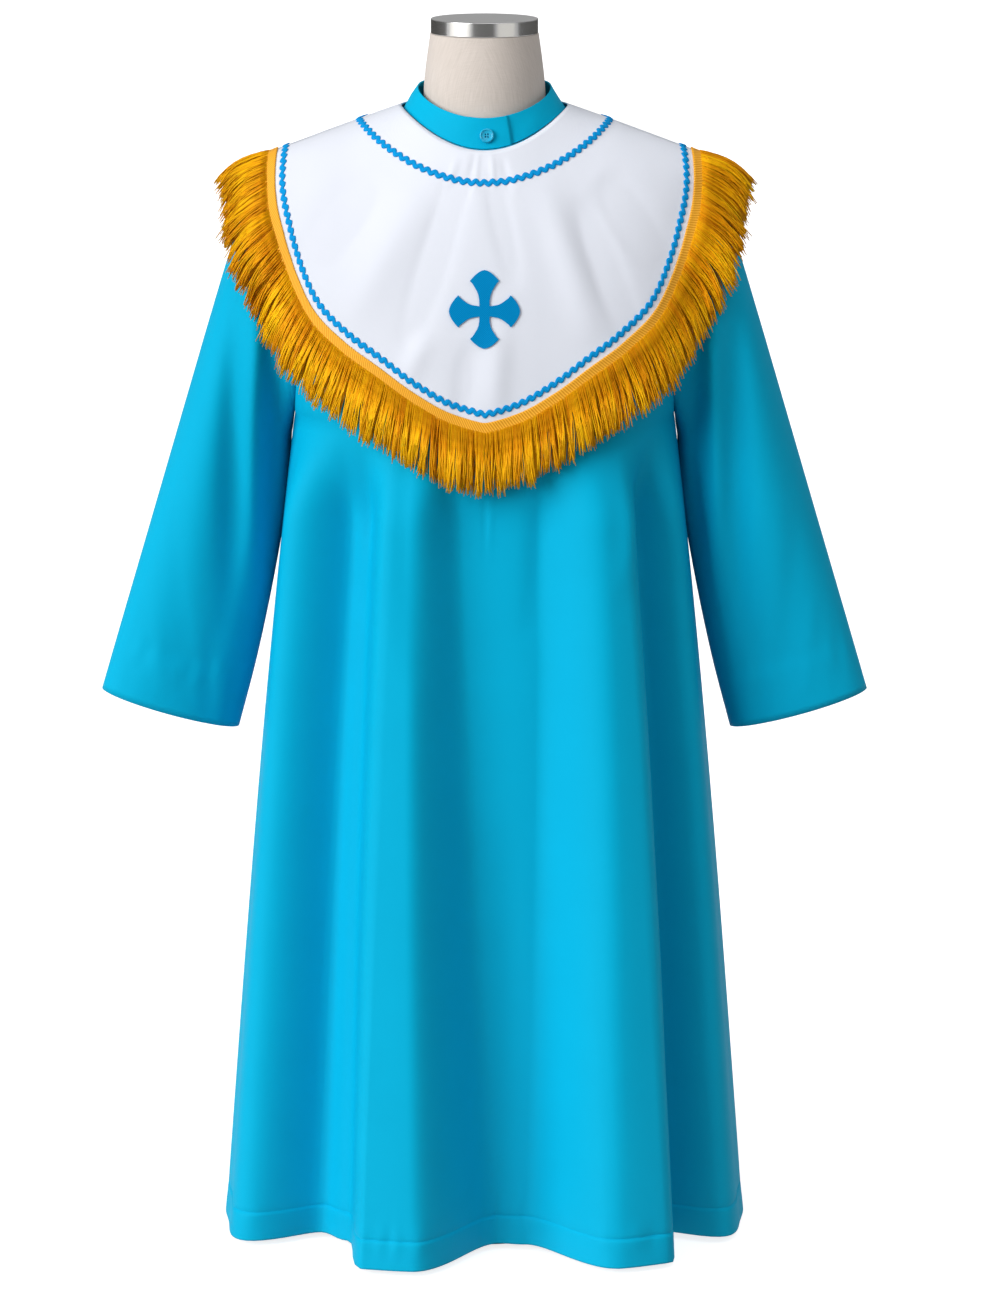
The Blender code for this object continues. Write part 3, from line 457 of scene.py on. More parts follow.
def sheet_mesh(name, rows, closed=False):
    """A grid through rows of points, with a UV map in metres along and across the cloth."""
    count, width = len(rows), len(rows[0])
    points = [point for row in rows for point in row]
    mesh = bpy.data.meshes.new(name)
    mesh.from_pydata(points, [], grid_faces(count, width, closed))
    us = []
    for row in rows:
        ring = list(row) + [row[0]] if closed else row
        line = [0.0]
        for a, b in zip(ring, ring[1:]):
            line.append(line[-1] + (b - a).length)
        middle = line[len(line) // 2]
        us.append([u - middle for u in line])
    vs = [[0.0] * (width + 1)]
    for lower, upper in zip(rows, rows[1:]):
        step = [(b - a).length for a, b in zip(lower, upper)]
        step.append(step[0] if closed else 0.0)
        vs.append([v + s for v, s in zip(vs[-1], step)])
    layer = mesh.uv_layers.new(name="UVMap")
    places = []
    for i in range(count - 1):
        for j in range(width if closed else width - 1):
            for a, b in ((i, j), (i, j + 1), (i + 1, j + 1), (i + 1, j)):
                places += (us[a][b], vs[a][b])
    layer.data.foreach_set("uv", places)
    return mesh


def add_piece(name, mesh, *materials):
    for material in materials:
        mesh.materials.append(material)
    obj = bpy.data.objects.new(name, mesh)
    bpy.context.scene.collection.objects.link(obj)
    mesh.shade_smooth()
    return obj


def apply_modifiers(obj):
    select_only(obj)
    for modifier in list(obj.modifiers):
        bpy.ops.object.modifier_apply(modifier=modifier.name)


def form_reach(angle, z):
    """Distance of the form's surface from its axis; angle is 0 at the front."""
    side = FRONT if math.cos(angle) >= 0 else BACK
    across, deep = abs(math.sin(angle)), abs(math.cos(angle))
    if z <= UNDERARM_Z:
        places = [row.z for row in FORM_ROWS]
        half = smooth_table(places, [row.half for row in FORM_ROWS], z)
        depths = [row.front if side is FRONT else row.back for row in FORM_ROWS]
        depth = smooth_table(places, depths, z)
        total = (across / half) ** FORM_SQUARE + (deep / depth) ** FORM_SQUARE
        return total ** (-1 / FORM_SQUARE)
    share = min(1.0, (z - UNDERARM_Z) / FORM_BLEND)
    half = mix(FORM_HALF_CHEST, FORM_HALF_SHOULDER, share * share * (3 - 2 * share))
    low, high = 0.0, half
    for _ in range(30):
        reach = (low + high) / 2
        x = reach * across
        inset = FORM_INSET * max(1.0, NECK_INSET - x / NECK_HALF)
        height = (z - UNDERARM_Z) / (ridge(x) - inset - UNDERARM_Z)
        full = fullness(x) * max(0.0, 1 - (x / half) ** 4) ** FORM_TAPER
        inside = height < 1 and reach * deep < (side.depth - FORM_SLIMMER) * full * (
            1 - height**side.power
        ) ** (1 / side.power)
        low, high = (reach, high) if inside else (low, reach)
    neck = smooth_table([row.z for row in NECK_ROWS], [row.radius for row in NECK_ROWS], z)
    if z < NECK_ROWS[0].z:
        return low
    return (low**NECK_BLEND + neck**NECK_BLEND) ** (1 / NECK_BLEND)


levels = round((NECK_TOP_Z - FORM_BOTTOM) / FORM_STEP)
form_rows = []
for i in range(levels + 1):
    z = mix(FORM_BOTTOM, NECK_TOP_Z, i / levels)
    ring = []
    for j in range(FORM_COLUMNS):
        angle = 2 * math.pi * j / FORM_COLUMNS
        reach = form_reach(angle, z)
        ring.append(Vector((reach * math.sin(angle), -reach * math.cos(angle), z)))
    form_rows.append(ring)
form_body = add_piece("form_body", sheet_mesh("form_body", form_rows, closed=True), linen)
select_only(form_body)
bpy.ops.object.mode_set(mode="EDIT")
bpy.ops.mesh.select_all(action="DESELECT")
bpy.ops.mesh.select_non_manifold()
bpy.ops.mesh.edge_face_add()
bpy.ops.mesh.select_all(action="SELECT")
bpy.ops.mesh.normals_make_consistent(inside=False)
bpy.ops.object.mode_set(mode="OBJECT")
bpy.ops.object.shade_smooth_by_angle(angle=math.radians(50))
finish_piece(form_body, "form_cover", "form_body")

# Neck cap: a spun steel cap, chromed. Its rim is polished and its top is brushed in fine rings,
# which spreads the reflection to an even grey.
BRUSH_PITCH = 0.0011
CAP_RINGS = (0.0015, 0.012, 0.014, 0.014)
brushed, tree, shader = new_material(
    "brushed steel", Base_Color=linear("E0E0E0"), Metallic=1.0, Roughness=0.45
)
place = add_node(tree, "ShaderNodeTexCoord").outputs["Object"]
brushing = {"Vector": place, "Scale": 0.3 / BRUSH_PITCH, "Distortion": 1.2, "Detail": 3.0}
rings = add_node(tree, "ShaderNodeTexWave", brushing, wave_type="RINGS", rings_direction="Z")
add_relief(tree, shader, rings.outputs["Fac"], 0.25, 0.0002)
cap_low, cap_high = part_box("form_neck_cap")
cap = turned_piece(
    "form_neck_cap", cap_low.z, cap_high.z, cap_high.x, 0.0006, chrome, "neck_cap", 128
)
inset_faces(cap, round_top, [(inset, 0.0) for inset in CAP_RINGS])
cap.data.materials.append(brushed)
for polygon in cap.data.polygons:
    if polygon.normal.z > 0.999:
        polygon.material_index = 1


# Robe, front and back panels: turquoise polyester-cotton poplin, dyed in the piece. The threads
# lie too close to show, so the weave is drawn at twice its real spacing of a third of a
# millimetre. The hem is turned up 28 mm and stitched, which puckers it a little.
WAVE_REPEAT = 0.314
POPLIN_THREAD = 0.0007
HEM_DEPTH = 0.028
HEM_PLY = 0.0010
HEM_GROOVE = 0.0010
HEM_PUCKER = 0.0018


def add_waves(tree, vector, pitch, inputs, **settings):
    """Bands a pitch apart; at scale 1 the texture repeats every WAVE_REPEAT metres."""
    inputs = {"Vector": vector, "Scale": WAVE_REPEAT / pitch, "Detail": 2.0, **inputs}
    return add_node(tree, "ShaderNodeTexWave", inputs, **settings).outputs["Fac"]


def poplin(name, light, dark, roughness):
    """Plain-woven cloth: two crossed sets of threads with faint unevenness in dye and weight."""
    material, tree, shader = new_material(name, Roughness=roughness, Specular_IOR_Level=0.05)
    uv = add_node(tree, "ShaderNodeTexCoord").outputs["UV"]
    thread = {"Distortion": 0.6, "Detail Scale": 0.4}
    warp = add_waves(tree, uv, POPLIN_THREAD, thread, bands_direction="X")
    weft = add_waves(tree, uv, POPLIN_THREAD, thread, bands_direction="Y")
    crossed = add_node(tree, "ShaderNodeMath", {0: warp, 1: weft}, operation="MULTIPLY")
    weave = crossed.outputs["Value"]
    uneven = add_node(tree, "ShaderNodeTexNoise", {"Vector": uv, "Scale": 14.0, "Detail": 4.0})
    dye = add_node(
        tree, "ShaderNodeMix", {"Factor": 0.3, "A": weave, "B": uneven.outputs["Fac"]}
    )
    add_colours(tree, shader, dye.outputs["Result"], dark, light, 0.05, 0.75)
    add_relief(tree, shader, weave, 0.5, 0.00012)
    return material


robe_poplin = poplin("turquoise poplin", "00B4DC", "00A6CE", 0.62)

# Soft creases, each a line seen from the front, in metres: from one end to the other
Crease = namedtuple("Crease", "x1 z1 x2 z2 width out")
FRONT_CREASES = (
    Crease(0.0005, 0.775, 0.001, 0.676, 0.0016, -0.0010),
    Crease(0.008, 0.740, 0.004, 0.690, 0.0030, 0.0006),
    Crease(-0.075, 0.800, -0.060, 0.560, 0.0140, -0.0030),
    Crease(0.060, 0.800, 0.048, 0.600, 0.0120, -0.0022),
    Crease(-0.150, 0.800, -0.118, 0.640, 0.0090, 0.0026),
    Crease(0.150, 0.800, 0.120, 0.650, 0.0090, 0.0024),
    Crease(0.020, 0.420, 0.034, 0.050, 0.0180, -0.0026),
    Crease(-0.172, 0.480, -0.190, 0.100, 0.0120, 0.0024),
    Crease(0.182, 0.520, 0.200, 0.160, 0.0110, -0.0022),
    Crease(0.090, 0.350, 0.083, 0.030, 0.0140, 0.0022),
)
BACK_CREASES = (
    Crease(-0.120, 0.860, -0.086, 0.610, 0.0120, -0.0026),
    Crease(0.118, 0.850, 0.092, 0.600, 0.0130, -0.0028),
    Crease(0.002, 0.780, 0.006, 0.520, 0.0160, 0.0024),
    Crease(-0.050, 0.430, -0.058, 0.070, 0.0150, 0.0024),
    Crease(0.150, 0.470, 0.166, 0.090, 0.0120, -0.0022),
    Crease(-0.176, 0.460, -0.192, 0.130, 0.0110, 0.0020),
)


def crease_out(creases, x, z):
    """How far soft creases stand out at a point seen from the front."""
    total = 0.0
    for c in creases:
        dx, dz = c.x2 - c.x1, c.z2 - c.z1
        along = ((x - c.x1) * dx + (z - c.z1) * dz) / (dx * dx + dz * dz)
        if 0 < along < 1:
            off = (x - mix(c.x1, c.x2, along)) / c.width
            if abs(off) < 3:
                total += c.out * math.exp(-off * off) * math.sin(math.pi * along) ** 0.7
    return total


def near_seam(place, rate):
    """Fades a relief out towards the side seams."""
    return min(1.0, (1 - abs(place)) * rate)


def panel_creases(side, place, x, z):
    """How far the creases of a robe panel stand out."""
    return crease_out(FRONT_CREASES if side is FRONT else BACK_CREASES, x, z) * near_seam(place, 8)


def plan(place):
    """Across and deep shares of a half ring; place runs from -1 to 1."""
    angle = place * math.pi / 2
    across = math.copysign(abs(math.sin(angle)) ** SECTION_SQUARE, place)
    return across, max(0.0, math.cos(angle)) ** SECTION_SQUARE


def place_at(across):
    """The place whose across share is given, the inverse of plan."""
    return math.asin(min(1.0, across) ** (1 / SECTION_SQUARE)) * 2 / math.pi


def armhole_x(turn):
    return UNDERARM_HALF - ARMHOLE_SCOOP * math.sin(2 * turn)


def fold_out(side, across, drop):
    """How far a fold stands out at a place across the panel, growing towards the hem."""
    start = min(1.0, drop / FOLDS_START)
    start = start * start * (3 - 2 * start)
    grow = max(0.0, (drop - FOLDS_START) / (1 - FOLDS_START)) ** FOLDS_GROW
    before = side.folds[0]
    for fold in side.folds[1:]:
        left, right = mix(before.high, before.low, drop), mix(fold.high, fold.low, drop)
        if across <= right:
            share = 0.5 - 0.5 * math.cos(math.pi * (across - left) / (right - left))
            high = mix(before.high_out, fold.high_out, share) * start
            return mix(high, mix(before.low_out, fold.low_out, share), grow)
        before = fold
    return 0.0


def turned_hem(height, depth, along):
    """Relief of a turned and stitched hem: thicker below the stitches, with small puckers."""
    ply = HEM_PLY * min(1.0, max(0.0, (depth - height) / 0.0012))
    groove = -HEM_GROOVE * math.exp(-(((height - depth) / 0.0013) ** 2))
    near = math.exp(-(((height - depth) / 0.014) ** 2))
    pucker = noise.noise(Vector((along / 0.011, height / 0.05, depth))) * HEM_PUCKER * near
    return ply + groove + pucker


def skirt_point(side, place, z):
    across, deep = plan(place)
    drop = (UNDERARM_Z - z) / (UNDERARM_Z - HEM_Z)
    half = mix(UNDERARM_HALF, HEM_HALF, drop)
    half += SIDE_BULGE * math.sin(math.pi * drop**0.8)
    depth = mix(side.depth, side.hem_depth, drop)
    angle = place * math.pi / 2
    normal = Vector((math.sin(angle) * depth, side.sign * math.cos(angle) * half, 0)).normalized()
    flat = Vector((across * half, side.sign * (deep * depth + SEAM / 2), z))
    out = fold_out(side, across, drop) + panel_creases(side, place, flat.x, z)
    out += turned_hem(z - HEM_Z, HEM_DEPTH, flat.x * 1.2) * near_seam(place, 30)
    return flat + normal * out


def upper_point(side, place, turn):
    """A robe point above the underarm, between the half ring below and the yoke."""
    across, deep = plan(place)
    point = bare_yoke(side, across * armhole_x(turn), turn)
    ring_depth = side.depth * deep * max(0.0, math.cos(turn)) ** (2 / side.power)
    share = min(1.0, turn / ARMHOLE_TURN) ** 0.5
    point.y = side.sign * (mix(ring_depth, abs(point.y), share) + SEAM / 2)
    point.y += side.sign * panel_creases(side, place, point.x, point.z)
    return point


def neckline_turn(side, place):
    """The turn at which a column of the panel reaches the neckline or the shoulder line."""
    def outside(turn):
        point = upper_point(side, place, turn)
        return math.hypot(point.x / NECK_HALF, point.y / side.neck) - 1

    low, high = 0.0, math.pi / 2
    if outside(high) >= -1e-6:
        return high
    for _ in range(30):
        middle = (low + high) / 2
        low, high = (middle, high) if outside(middle) > 0 else (low, middle)
    return low


HEM_HEIGHTS = (
    0.0, 0.002, 0.008, 0.014, 0.020, 0.0245, 0.0268, 0.0277, 0.0283, 0.0292, 0.0315, 0.036,
)
SKIRT_STEPS = 84
YOKE_STEPS = 46


def panel_rows(side):
    """Rows of a robe panel from the hem to the neckline and the shoulders."""
    corner = place_at(NECK_HALF / armhole_x(math.pi / 2))
    inner, outer = 44, 38
    half = [corner * i / inner for i in range(inner)]
    half += [mix(corner, 1.0, i / outer) for i in range(outer + 1)]
    places = [-p for p in reversed(half[1:])] + half
    if side is BACK:
        places.reverse()
    heights = list(HEM_HEIGHTS)
    heights += [mix(0.042, UNDERARM_Z - HEM_Z, i / SKIRT_STEPS) for i in range(SKIRT_STEPS)]
    rows = [[skirt_point(side, place, HEM_Z + h) for place in places] for h in heights]
    ends = [neckline_turn(side, place) for place in places]
    for i in range(YOKE_STEPS + 1):
        share = (i / YOKE_STEPS) ** 1.15
        rows.append([upper_point(side, p, end * share) for p, end in zip(places, ends)])
    return rows


def cloth_piece(name, rows, material, slot, closed=False, wall=WALL):
    """A sheet of cloth with its own thickness, whose outer face goes through the rows."""
    obj = add_piece(name, sheet_mesh(name, rows, closed), material)
    thicken = obj.modifiers.new("cloth", "SOLIDIFY")
    thicken.thickness = wall
    thicken.offset = -1
    thicken.use_quality_normals = True
    apply_modifiers(obj)
    finish_piece(obj, slot, name)
    return obj


front_panel_rows, back_panel_rows = panel_rows(FRONT), panel_rows(BACK)
robe_front = cloth_piece("robe_front", front_panel_rows, robe_poplin, "robe_cloth")
robe_back = cloth_piece("robe_back", back_panel_rows, robe_poplin, "robe_cloth")


# Sleeves: set in at the armhole and cut wide, so that each hangs as a flat tube just clear of
# the body. A 50 mm cuff hem is turned in and stitched, which leaves faint slanting puckers.
SLEEVE_SEAM = 0.0003
CUFF_DEPTH = 0.050
Ring = namedtuple("Ring", "outer_x outer_z inner_x inner_z depth egg")
SLEEVE_RINGS = (
    Ring(0.1960, 1.0455, 0.1828, 0.8020, 0.0740, 0.95),
    Ring(0.2110, 1.0310, 0.1832, 0.7985, 0.0730, 0.80),
    Ring(0.2270, 1.0040, 0.1838, 0.7940, 0.0710, 0.55),
    Ring(0.2440, 0.9580, 0.1846, 0.7885, 0.0680, 0.30),
    Ring(0.2620, 0.9000, 0.1860, 0.7790, 0.0640, 0.10),
    Ring(0.2800, 0.8400, 0.1872, 0.7560, 0.0600, 0.0),
    Ring(0.3039, 0.7600, 0.1922, 0.7080, 0.0530, 0.0),
    Ring(0.3278, 0.6800, 0.2050, 0.6360, 0.0465, 0.0),
    Ring(0.3518, 0.6000, 0.2215, 0.5600, 0.0405, 0.0),
    Ring(0.3717, 0.5330, 0.2397, 0.4910, 0.0360, 0.0),
)
SLEEVE_BACK = 0.020
SLEEVE_COLUMNS = 88
SLEEVE_STEPS = 10
CUFF_RELIEF = 0.08
CUFF_ROUND = 0.06
CUFF_STITCHING = 1.2
SleeveFold = namedtuple("SleeveFold", "line high_x low_x width out top bottom")
SLEEVE_FOLDS = (
    SleeveFold("dark hollow beside the body", 0.197, 0.206, 0.012, -0.018, 0.97, 0.60),
    SleeveFold("soft ridge beside the body", 0.215, 0.223, 0.009, 0.005, 0.95, 0.60),
    SleeveFold("long trough from the armhole", 0.236, 0.244, 0.013, -0.010, 0.97, 0.58),
    SleeveFold("broad ridge over the arm", 0.262, 0.290, 0.020, 0.003, 0.93, 0.56),
)
SLEEVE_CREASES = (
    Crease(0.300, 0.720, 0.286, 0.520, 0.0100, -0.0016),
    Crease(0.318, 0.640, 0.312, 0.530, 0.0060, 0.0012),
    Crease(0.264, 0.600, 0.270, 0.500, 0.0060, -0.0016),
    Crease(0.252, 0.570, 0.257, 0.490, 0.0045, 0.0014),
    Crease(0.338, 0.610, 0.345, 0.530, 0.0060, -0.0010),
    Crease(0.230, 0.700, 0.246, 0.560, 0.0080, 0.0018),
)


def armhole_point(angle, hand):
    """The armhole's edge; angle is 0 on the shoulder, then runs by the front to the underarm."""
    side = FRONT if angle <= math.pi else BACK
    turn = math.asin(((1 + math.cos(angle)) / 2) ** (side.power / 2))
    point = upper_point(side, 1.0, turn)
    if angle in (0.0, math.pi):
        point.y = 0.0
    return Vector((hand * (point.x + SLEEVE_SEAM), point.y, point.z))


def sleeve_fold(x, z):
    """How far the sleeve's folds stand out at a point seen from the front."""
    total = crease_out(SLEEVE_CREASES, x, z)
    for fold in SLEEVE_FOLDS:
        if fold.bottom < z < fold.top:
            share = (fold.top - z) / (fold.top - fold.bottom)
            off = (x - mix(fold.high_x, fold.low_x, share)) / fold.width
            total += fold.out * math.sin(math.pi * share) * math.exp(-(off**2))
    return total


def sleeve_rows(hand):
    """Rings of a sleeve from the armhole to the cuff."""
    angles = [2 * math.pi * i / SLEEVE_COLUMNS for i in range(SLEEVE_COLUMNS)]
    egg = [armhole_point(angle, 1) for angle in angles]
    deepest = max(abs(point.y) for point in egg)
    rows = [[armhole_point(angle, hand) for angle in angles]]
    numbers = list(range(len(SLEEVE_RINGS)))
    columns = {name: [getattr(ring, name) for ring in SLEEVE_RINGS] for name in Ring._fields}
    last = SLEEVE_RINGS[-1]
    for step in range(SLEEVE_STEPS * (len(SLEEVE_RINGS) - 1) + 1):
        at = step / SLEEVE_STEPS
        ring = Ring(*(smooth_table(numbers, columns[name], at) for name in Ring._fields))
        outer = Vector((ring.outer_x, 0, ring.outer_z))
        inner = Vector((ring.inner_x, 0, ring.inner_z))
        middle, half = (outer + inner) / 2, (outer - inner) / 2
        from_cuff = (Vector((last.outer_x, 0, last.outer_z)) - outer).length
        row = []
        for angle, edge in zip(angles, egg):
            point = middle + half * math.cos(angle)
            y = -mix(math.sin(angle), -edge.y / deepest, ring.egg) * ring.depth
            y += SLEEVE_BACK * (1 - ring.egg) * (1 - math.cos(angle)) / 2
            out = sleeve_fold(point.x, point.z)
            if from_cuff < CUFF_RELIEF:
                along = angle * CUFF_ROUND + hand
                out += turned_hem(from_cuff, CUFF_DEPTH, along) * CUFF_STITCHING
            y -= out * math.sin(angle)
            row.append(Vector((hand * point.x, y, point.z)))
        rows.append(row)
    if hand < 0:
        rows = [[row[0]] + row[:0:-1] for row in rows]
    return rows


sleeve_left_rows, sleeve_right_rows = sleeve_rows(-1), sleeve_rows(1)
sleeve_left = cloth_piece("sleeve_left", sleeve_left_rows, robe_poplin, "robe_cloth", True)
sleeve_right = cloth_piece("sleeve_right", sleeve_right_rows, robe_poplin, "robe_cloth", True)


# Collar: a stand collar of two plies of the robe's cloth with a firm interlining, leaning in
# towards the neck. Its outer end laps over the inner one and is held by the button.
COLLAR_WALL = 0.0015
COLLAR_TOP_HALF = 0.0636
COLLAR_TOP_FRONT = 0.0650
COLLAR_TOP_BACK = 0.0600
COLLAR_TOP_Z = 1.1118
COLLAR_DIP = 0.0118
COLLAR_WAVE = 0.0056
COLLAR_SWAY = 0.0012
COLLAR_COLUMNS = 200
COLLAR_HEIGHTS = (0, 0.02, 0.06, 0.12, 0.2, 0.3, 0.4, 0.5, 0.6, 0.7, 0.8, 0.88, 0.94, 0.98, 1.0)
LAP_START = math.radians(-14)
LAP_END = math.radians(20)
LAP_EASE = math.radians(50)
LIE = 0.0003


def neck_loop(angle):
    """A point of the robe's neckline; angle is 0 at the front and grows towards +X."""
    side = FRONT if math.cos(angle) > 0 else BACK
    x = NECK_HALF * math.sin(angle)
    depth = side.neck * abs(math.cos(angle))
    point = bare_yoke(side, x, turn_at_depth(side, x, depth))
    return Vector((x, side.sign * depth, point.z))


def collar_top(angle):
    deep = COLLAR_TOP_FRONT if math.cos(angle) > 0 else COLLAR_TOP_BACK
    z = COLLAR_TOP_Z - COLLAR_DIP * math.cos(angle) - COLLAR_WAVE * math.cos(2 * angle)
    return Vector((COLLAR_TOP_HALF * math.sin(angle), -deep * math.cos(angle), z))


def collar_point(angle, height):
    """A point of the collar's outer face; the first stretch lies inside the lapping end."""
    past = (angle - LAP_END) / LAP_EASE
    tuck = (COLLAR_WALL + LIE) * (1 - min(max(past, 0.0), 1.0))
    low = neck_loop(angle) + Vector((0, 0, 2 * LIE))
    point = low.lerp(collar_top(angle), height)
    inward = Vector((-math.sin(angle), math.cos(angle), 0))
    wave = noise.noise(Vector((angle * 2.2, height * 0.8, 4.0))) * COLLAR_SWAY
    return point + inward * (tuck - wave * math.sin(math.pi * height))


collar_angles = [
    mix(LAP_START, 2 * math.pi + LAP_END, i / COLLAR_COLUMNS) for i in range(COLLAR_COLUMNS + 1)
]
collar_rows = [[collar_point(angle, h) for angle in collar_angles] for h in COLLAR_HEIGHTS]
collar = cloth_piece("collar_band", collar_rows, robe_poplin, "robe_cloth", wall=COLLAR_WALL)


# Button: a four-hole shirt button of dyed polyester resin, turned with a raised rim and a
# shallow dish. The resin is even in colour and a little shinier than the cloth.
BUTTON_RADIUS = 0.0067
BUTTON_THICK = 0.0026
BUTTON_HOLE = 0.0008
BUTTON_HOLE_PITCH = 0.0017
BUTTON_X = 0.0023
BUTTON_FACE = ((0.0006, 0.0006), (0.0007, 0.0), (0.0005, -0.0011), (0.0012, -0.0002))
resin, tree, shader = new_material("dyed button resin", Roughness=0.3, Coat_Weight=0.2)
place = add_node(tree, "ShaderNodeTexCoord").outputs["Object"]
clouds = add_node(tree, "ShaderNodeTexNoise", {"Vector": place, "Scale": 260.0})
add_colours(tree, shader, clouds.outputs["Fac"], "009CC4", "0CB4DA")

button_angle = math.asin(BUTTON_X / NECK_HALF)
button_seat = collar_point(2 * math.pi + button_angle, 0.42)
button_up = (collar_top(0) - neck_loop(0)).normalized()
button_out = Vector((0, -button_up.z, button_up.y))
button_turn = button_out.to_track_quat("Z", "Y")
bpy.ops.mesh.primitive_cylinder_add(vertices=64, radius=BUTTON_RADIUS, depth=BUTTON_THICK)
button = bpy.context.object
button.name = "collar_button"
inset_faces(button, round_top, BUTTON_FACE)
hole_cutters = []
for k in range(4):
    turn = math.pi / 4 + k * math.pi / 2
    spot = (BUTTON_HOLE_PITCH * math.cos(turn), BUTTON_HOLE_PITCH * math.sin(turn), 0)
    bpy.ops.mesh.primitive_cylinder_add(vertices=20, radius=BUTTON_HOLE, depth=0.01, location=spot)
    hole_cutters.append(bpy.context.object)
for cutter in hole_cutters:
    cut = button.modifiers.new("hole", "BOOLEAN")
    cut.operation = "DIFFERENCE"
    cut.object = cutter
soften = button.modifiers.new("soft edges", "BEVEL")
soften.width = 0.00025
soften.segments = 2
soften.limit_method = "ANGLE"
apply_modifiers(button)
for cutter in hole_cutters:
    bpy.data.objects.remove(cutter)
button.rotation_euler = button_turn.to_euler()
button.location = button_seat + button_out * (BUTTON_THICK / 2 + 2 * LIE)
put_in_place(button)
button.data.materials.append(resin)
bpy.ops.object.shade_smooth_by_angle(angle=math.radians(35))
finish_piece(button, "button", "collar_button")


# Cape: white poplin, cut as two rounded halves and joined on the shoulders. It lies over the
# robe and the sleeve heads, with soft folds that fan out from the neck.
CAPE_CLEAR = 0.0015
CAPE_EASE = 0.0012
CAPE_POINT_Z = 1.0604
SHOULDER_ANGLE = math.radians(80)
SEAM_TURN = math.radians(89.9)
WHITE_MARGIN = 0.0083
TAPE_WIDTH = 0.0112
CapeLine = namedtuple("CapeLine", "degrees front back")
CAPE_LINE = (
    CapeLine(0, 0.2368, 0.2150),
    CapeLine(8, 0.2290, 0.2110),
    CapeLine(16, 0.2188, 0.2075),
    CapeLine(26, 0.2088, 0.2040),
    CapeLine(36, 0.2065, 0.2020),
    CapeLine(46, 0.2053, 0.2010),
    CapeLine(56, 0.1982, 0.1975),
    CapeLine(66, 0.1918, 0.1930),
    CapeLine(78, 0.1890, 0.1898),
    CapeLine(90, 0.1856, 0.1856),
)
CAPE_CREASES = (
    Crease(0.002, 1.062, 0.030, 0.940, 0.0090, -0.0026),
    Crease(-0.008, 1.062, -0.020, 1.014, 0.0030, -0.0014),
    Crease(0.006, 1.062, 0.010, 1.022, 0.0028, 0.0014),
    Crease(-0.002, 1.060, -0.004, 1.028, 0.0026, -0.0012),
    Crease(0.016, 1.058, 0.024, 1.026, 0.0032, -0.0012),
    Crease(-0.026, 1.056, -0.034, 1.030, 0.0034, 0.0011),
    Crease(-0.022, 1.050, -0.074, 0.880, 0.0130, -0.0036),
    Crease(-0.060, 1.030, -0.128, 0.900, 0.0170, 0.0034),
    Crease(-0.100, 1.040, -0.168, 0.950, 0.0150, -0.0034),
    Crease(0.052, 1.040, 0.104, 0.890, 0.0150, 0.0034),
    Crease(0.084, 1.020, 0.142, 0.880, 0.0130, -0.0034),
    Crease(0.110, 1.040, 0.172, 0.950, 0.0130, -0.0030),
    Crease(0.014, 0.910, 0.008, 0.812, 0.0120, 0.0030),
    Crease(-0.014, 0.890, -0.022, 0.815, 0.0080, -0.0026),
    Crease(-0.052, 0.900, -0.076, 0.850, 0.0090, 0.0022),
    Crease(-0.073, 0.8755, -0.030, 0.8745, 0.0012, 0.0004),
)
cape_poplin = poplin("white poplin", "F4F7FF", "EDF1FC", 0.75)

# Painted shade: the cape's colour is made a little greyer across it toward the window, on the
# side that the window lights most, which keeps the creases on that shoulder below pure white
CAPE_PAINTED_SHADE = ((-0.14, 0.80), (-0.07, 0.86), (0.05, 0.86), (0.11, 0.97))
CAPE_REACH = 0.20
tree = cape_poplin.node_tree
place = add_node(tree, "ShaderNodeTexCoord").outputs["Object"]
x_place = add_node(tree, "ShaderNodeSeparateXYZ", {"Vector": place}).outputs["X"]
span = {"Value": x_place, "From Min": -CAPE_REACH, "From Max": CAPE_REACH}
across = add_node(tree, "ShaderNodeMapRange", span)
painted_shade_ramp = add_node(tree, "ShaderNodeValToRGB", {"Fac": across.outputs["Result"]})
stops = painted_shade_ramp.color_ramp.elements
while len(stops) < len(CAPE_PAINTED_SHADE):
    stops.new(1.0)
for stop, (x, grey) in zip(stops, CAPE_PAINTED_SHADE):
    stop.position = (x + CAPE_REACH) / (2 * CAPE_REACH)
    stop.color = (grey, grey, grey, 1.0)
base_colour = tree.nodes["Principled BSDF"].inputs["Base Color"]
colours = {0: base_colour.links[0].from_socket, 1: painted_shade_ramp.outputs["Color"]}
# The cloth's own colour times the grey ramp of painted shade
base_with_painted_shade = add_node(tree, "ShaderNodeVectorMath", colours, operation="MULTIPLY")
tree.links.new(base_with_painted_shade.outputs["Vector"], base_colour)


def tree_of(*row_sets):
    """A search tree over sheets, each given as its rows and whether it is closed."""
    points, faces = [], []
    for rows, closed in row_sets:
        faces += grid_faces(len(rows), len(rows[0]), closed, len(points))
        points += [point for row in rows for point in row]
    return BVHTree.FromPolygons(points, faces)


robe_tree = tree_of(
    (front_panel_rows, False),
    (back_panel_rows, False),
    (sleeve_left_rows, True),
    (sleeve_right_rows, True),
)


def clear_of(tree, point, clearance, tries=3):
    """The point, moved off the cloth until it is clear of it."""
    for _ in range(tries):
        nearest, normal, _, _ = tree.find_nearest(point)
        height = (point - nearest).dot(normal)
        if height >= clearance:
            break
        point = point + normal * (clearance - height)
    return point


def cape_line(side, angle):
    """Distance of the outer braid from the point between the shoulders."""
    degrees = [row.degrees for row in CAPE_LINE]
    radii = [row.front if side is FRONT else row.back for row in CAPE_LINE]
    return smooth_table(degrees, radii, abs(math.degrees(angle)))


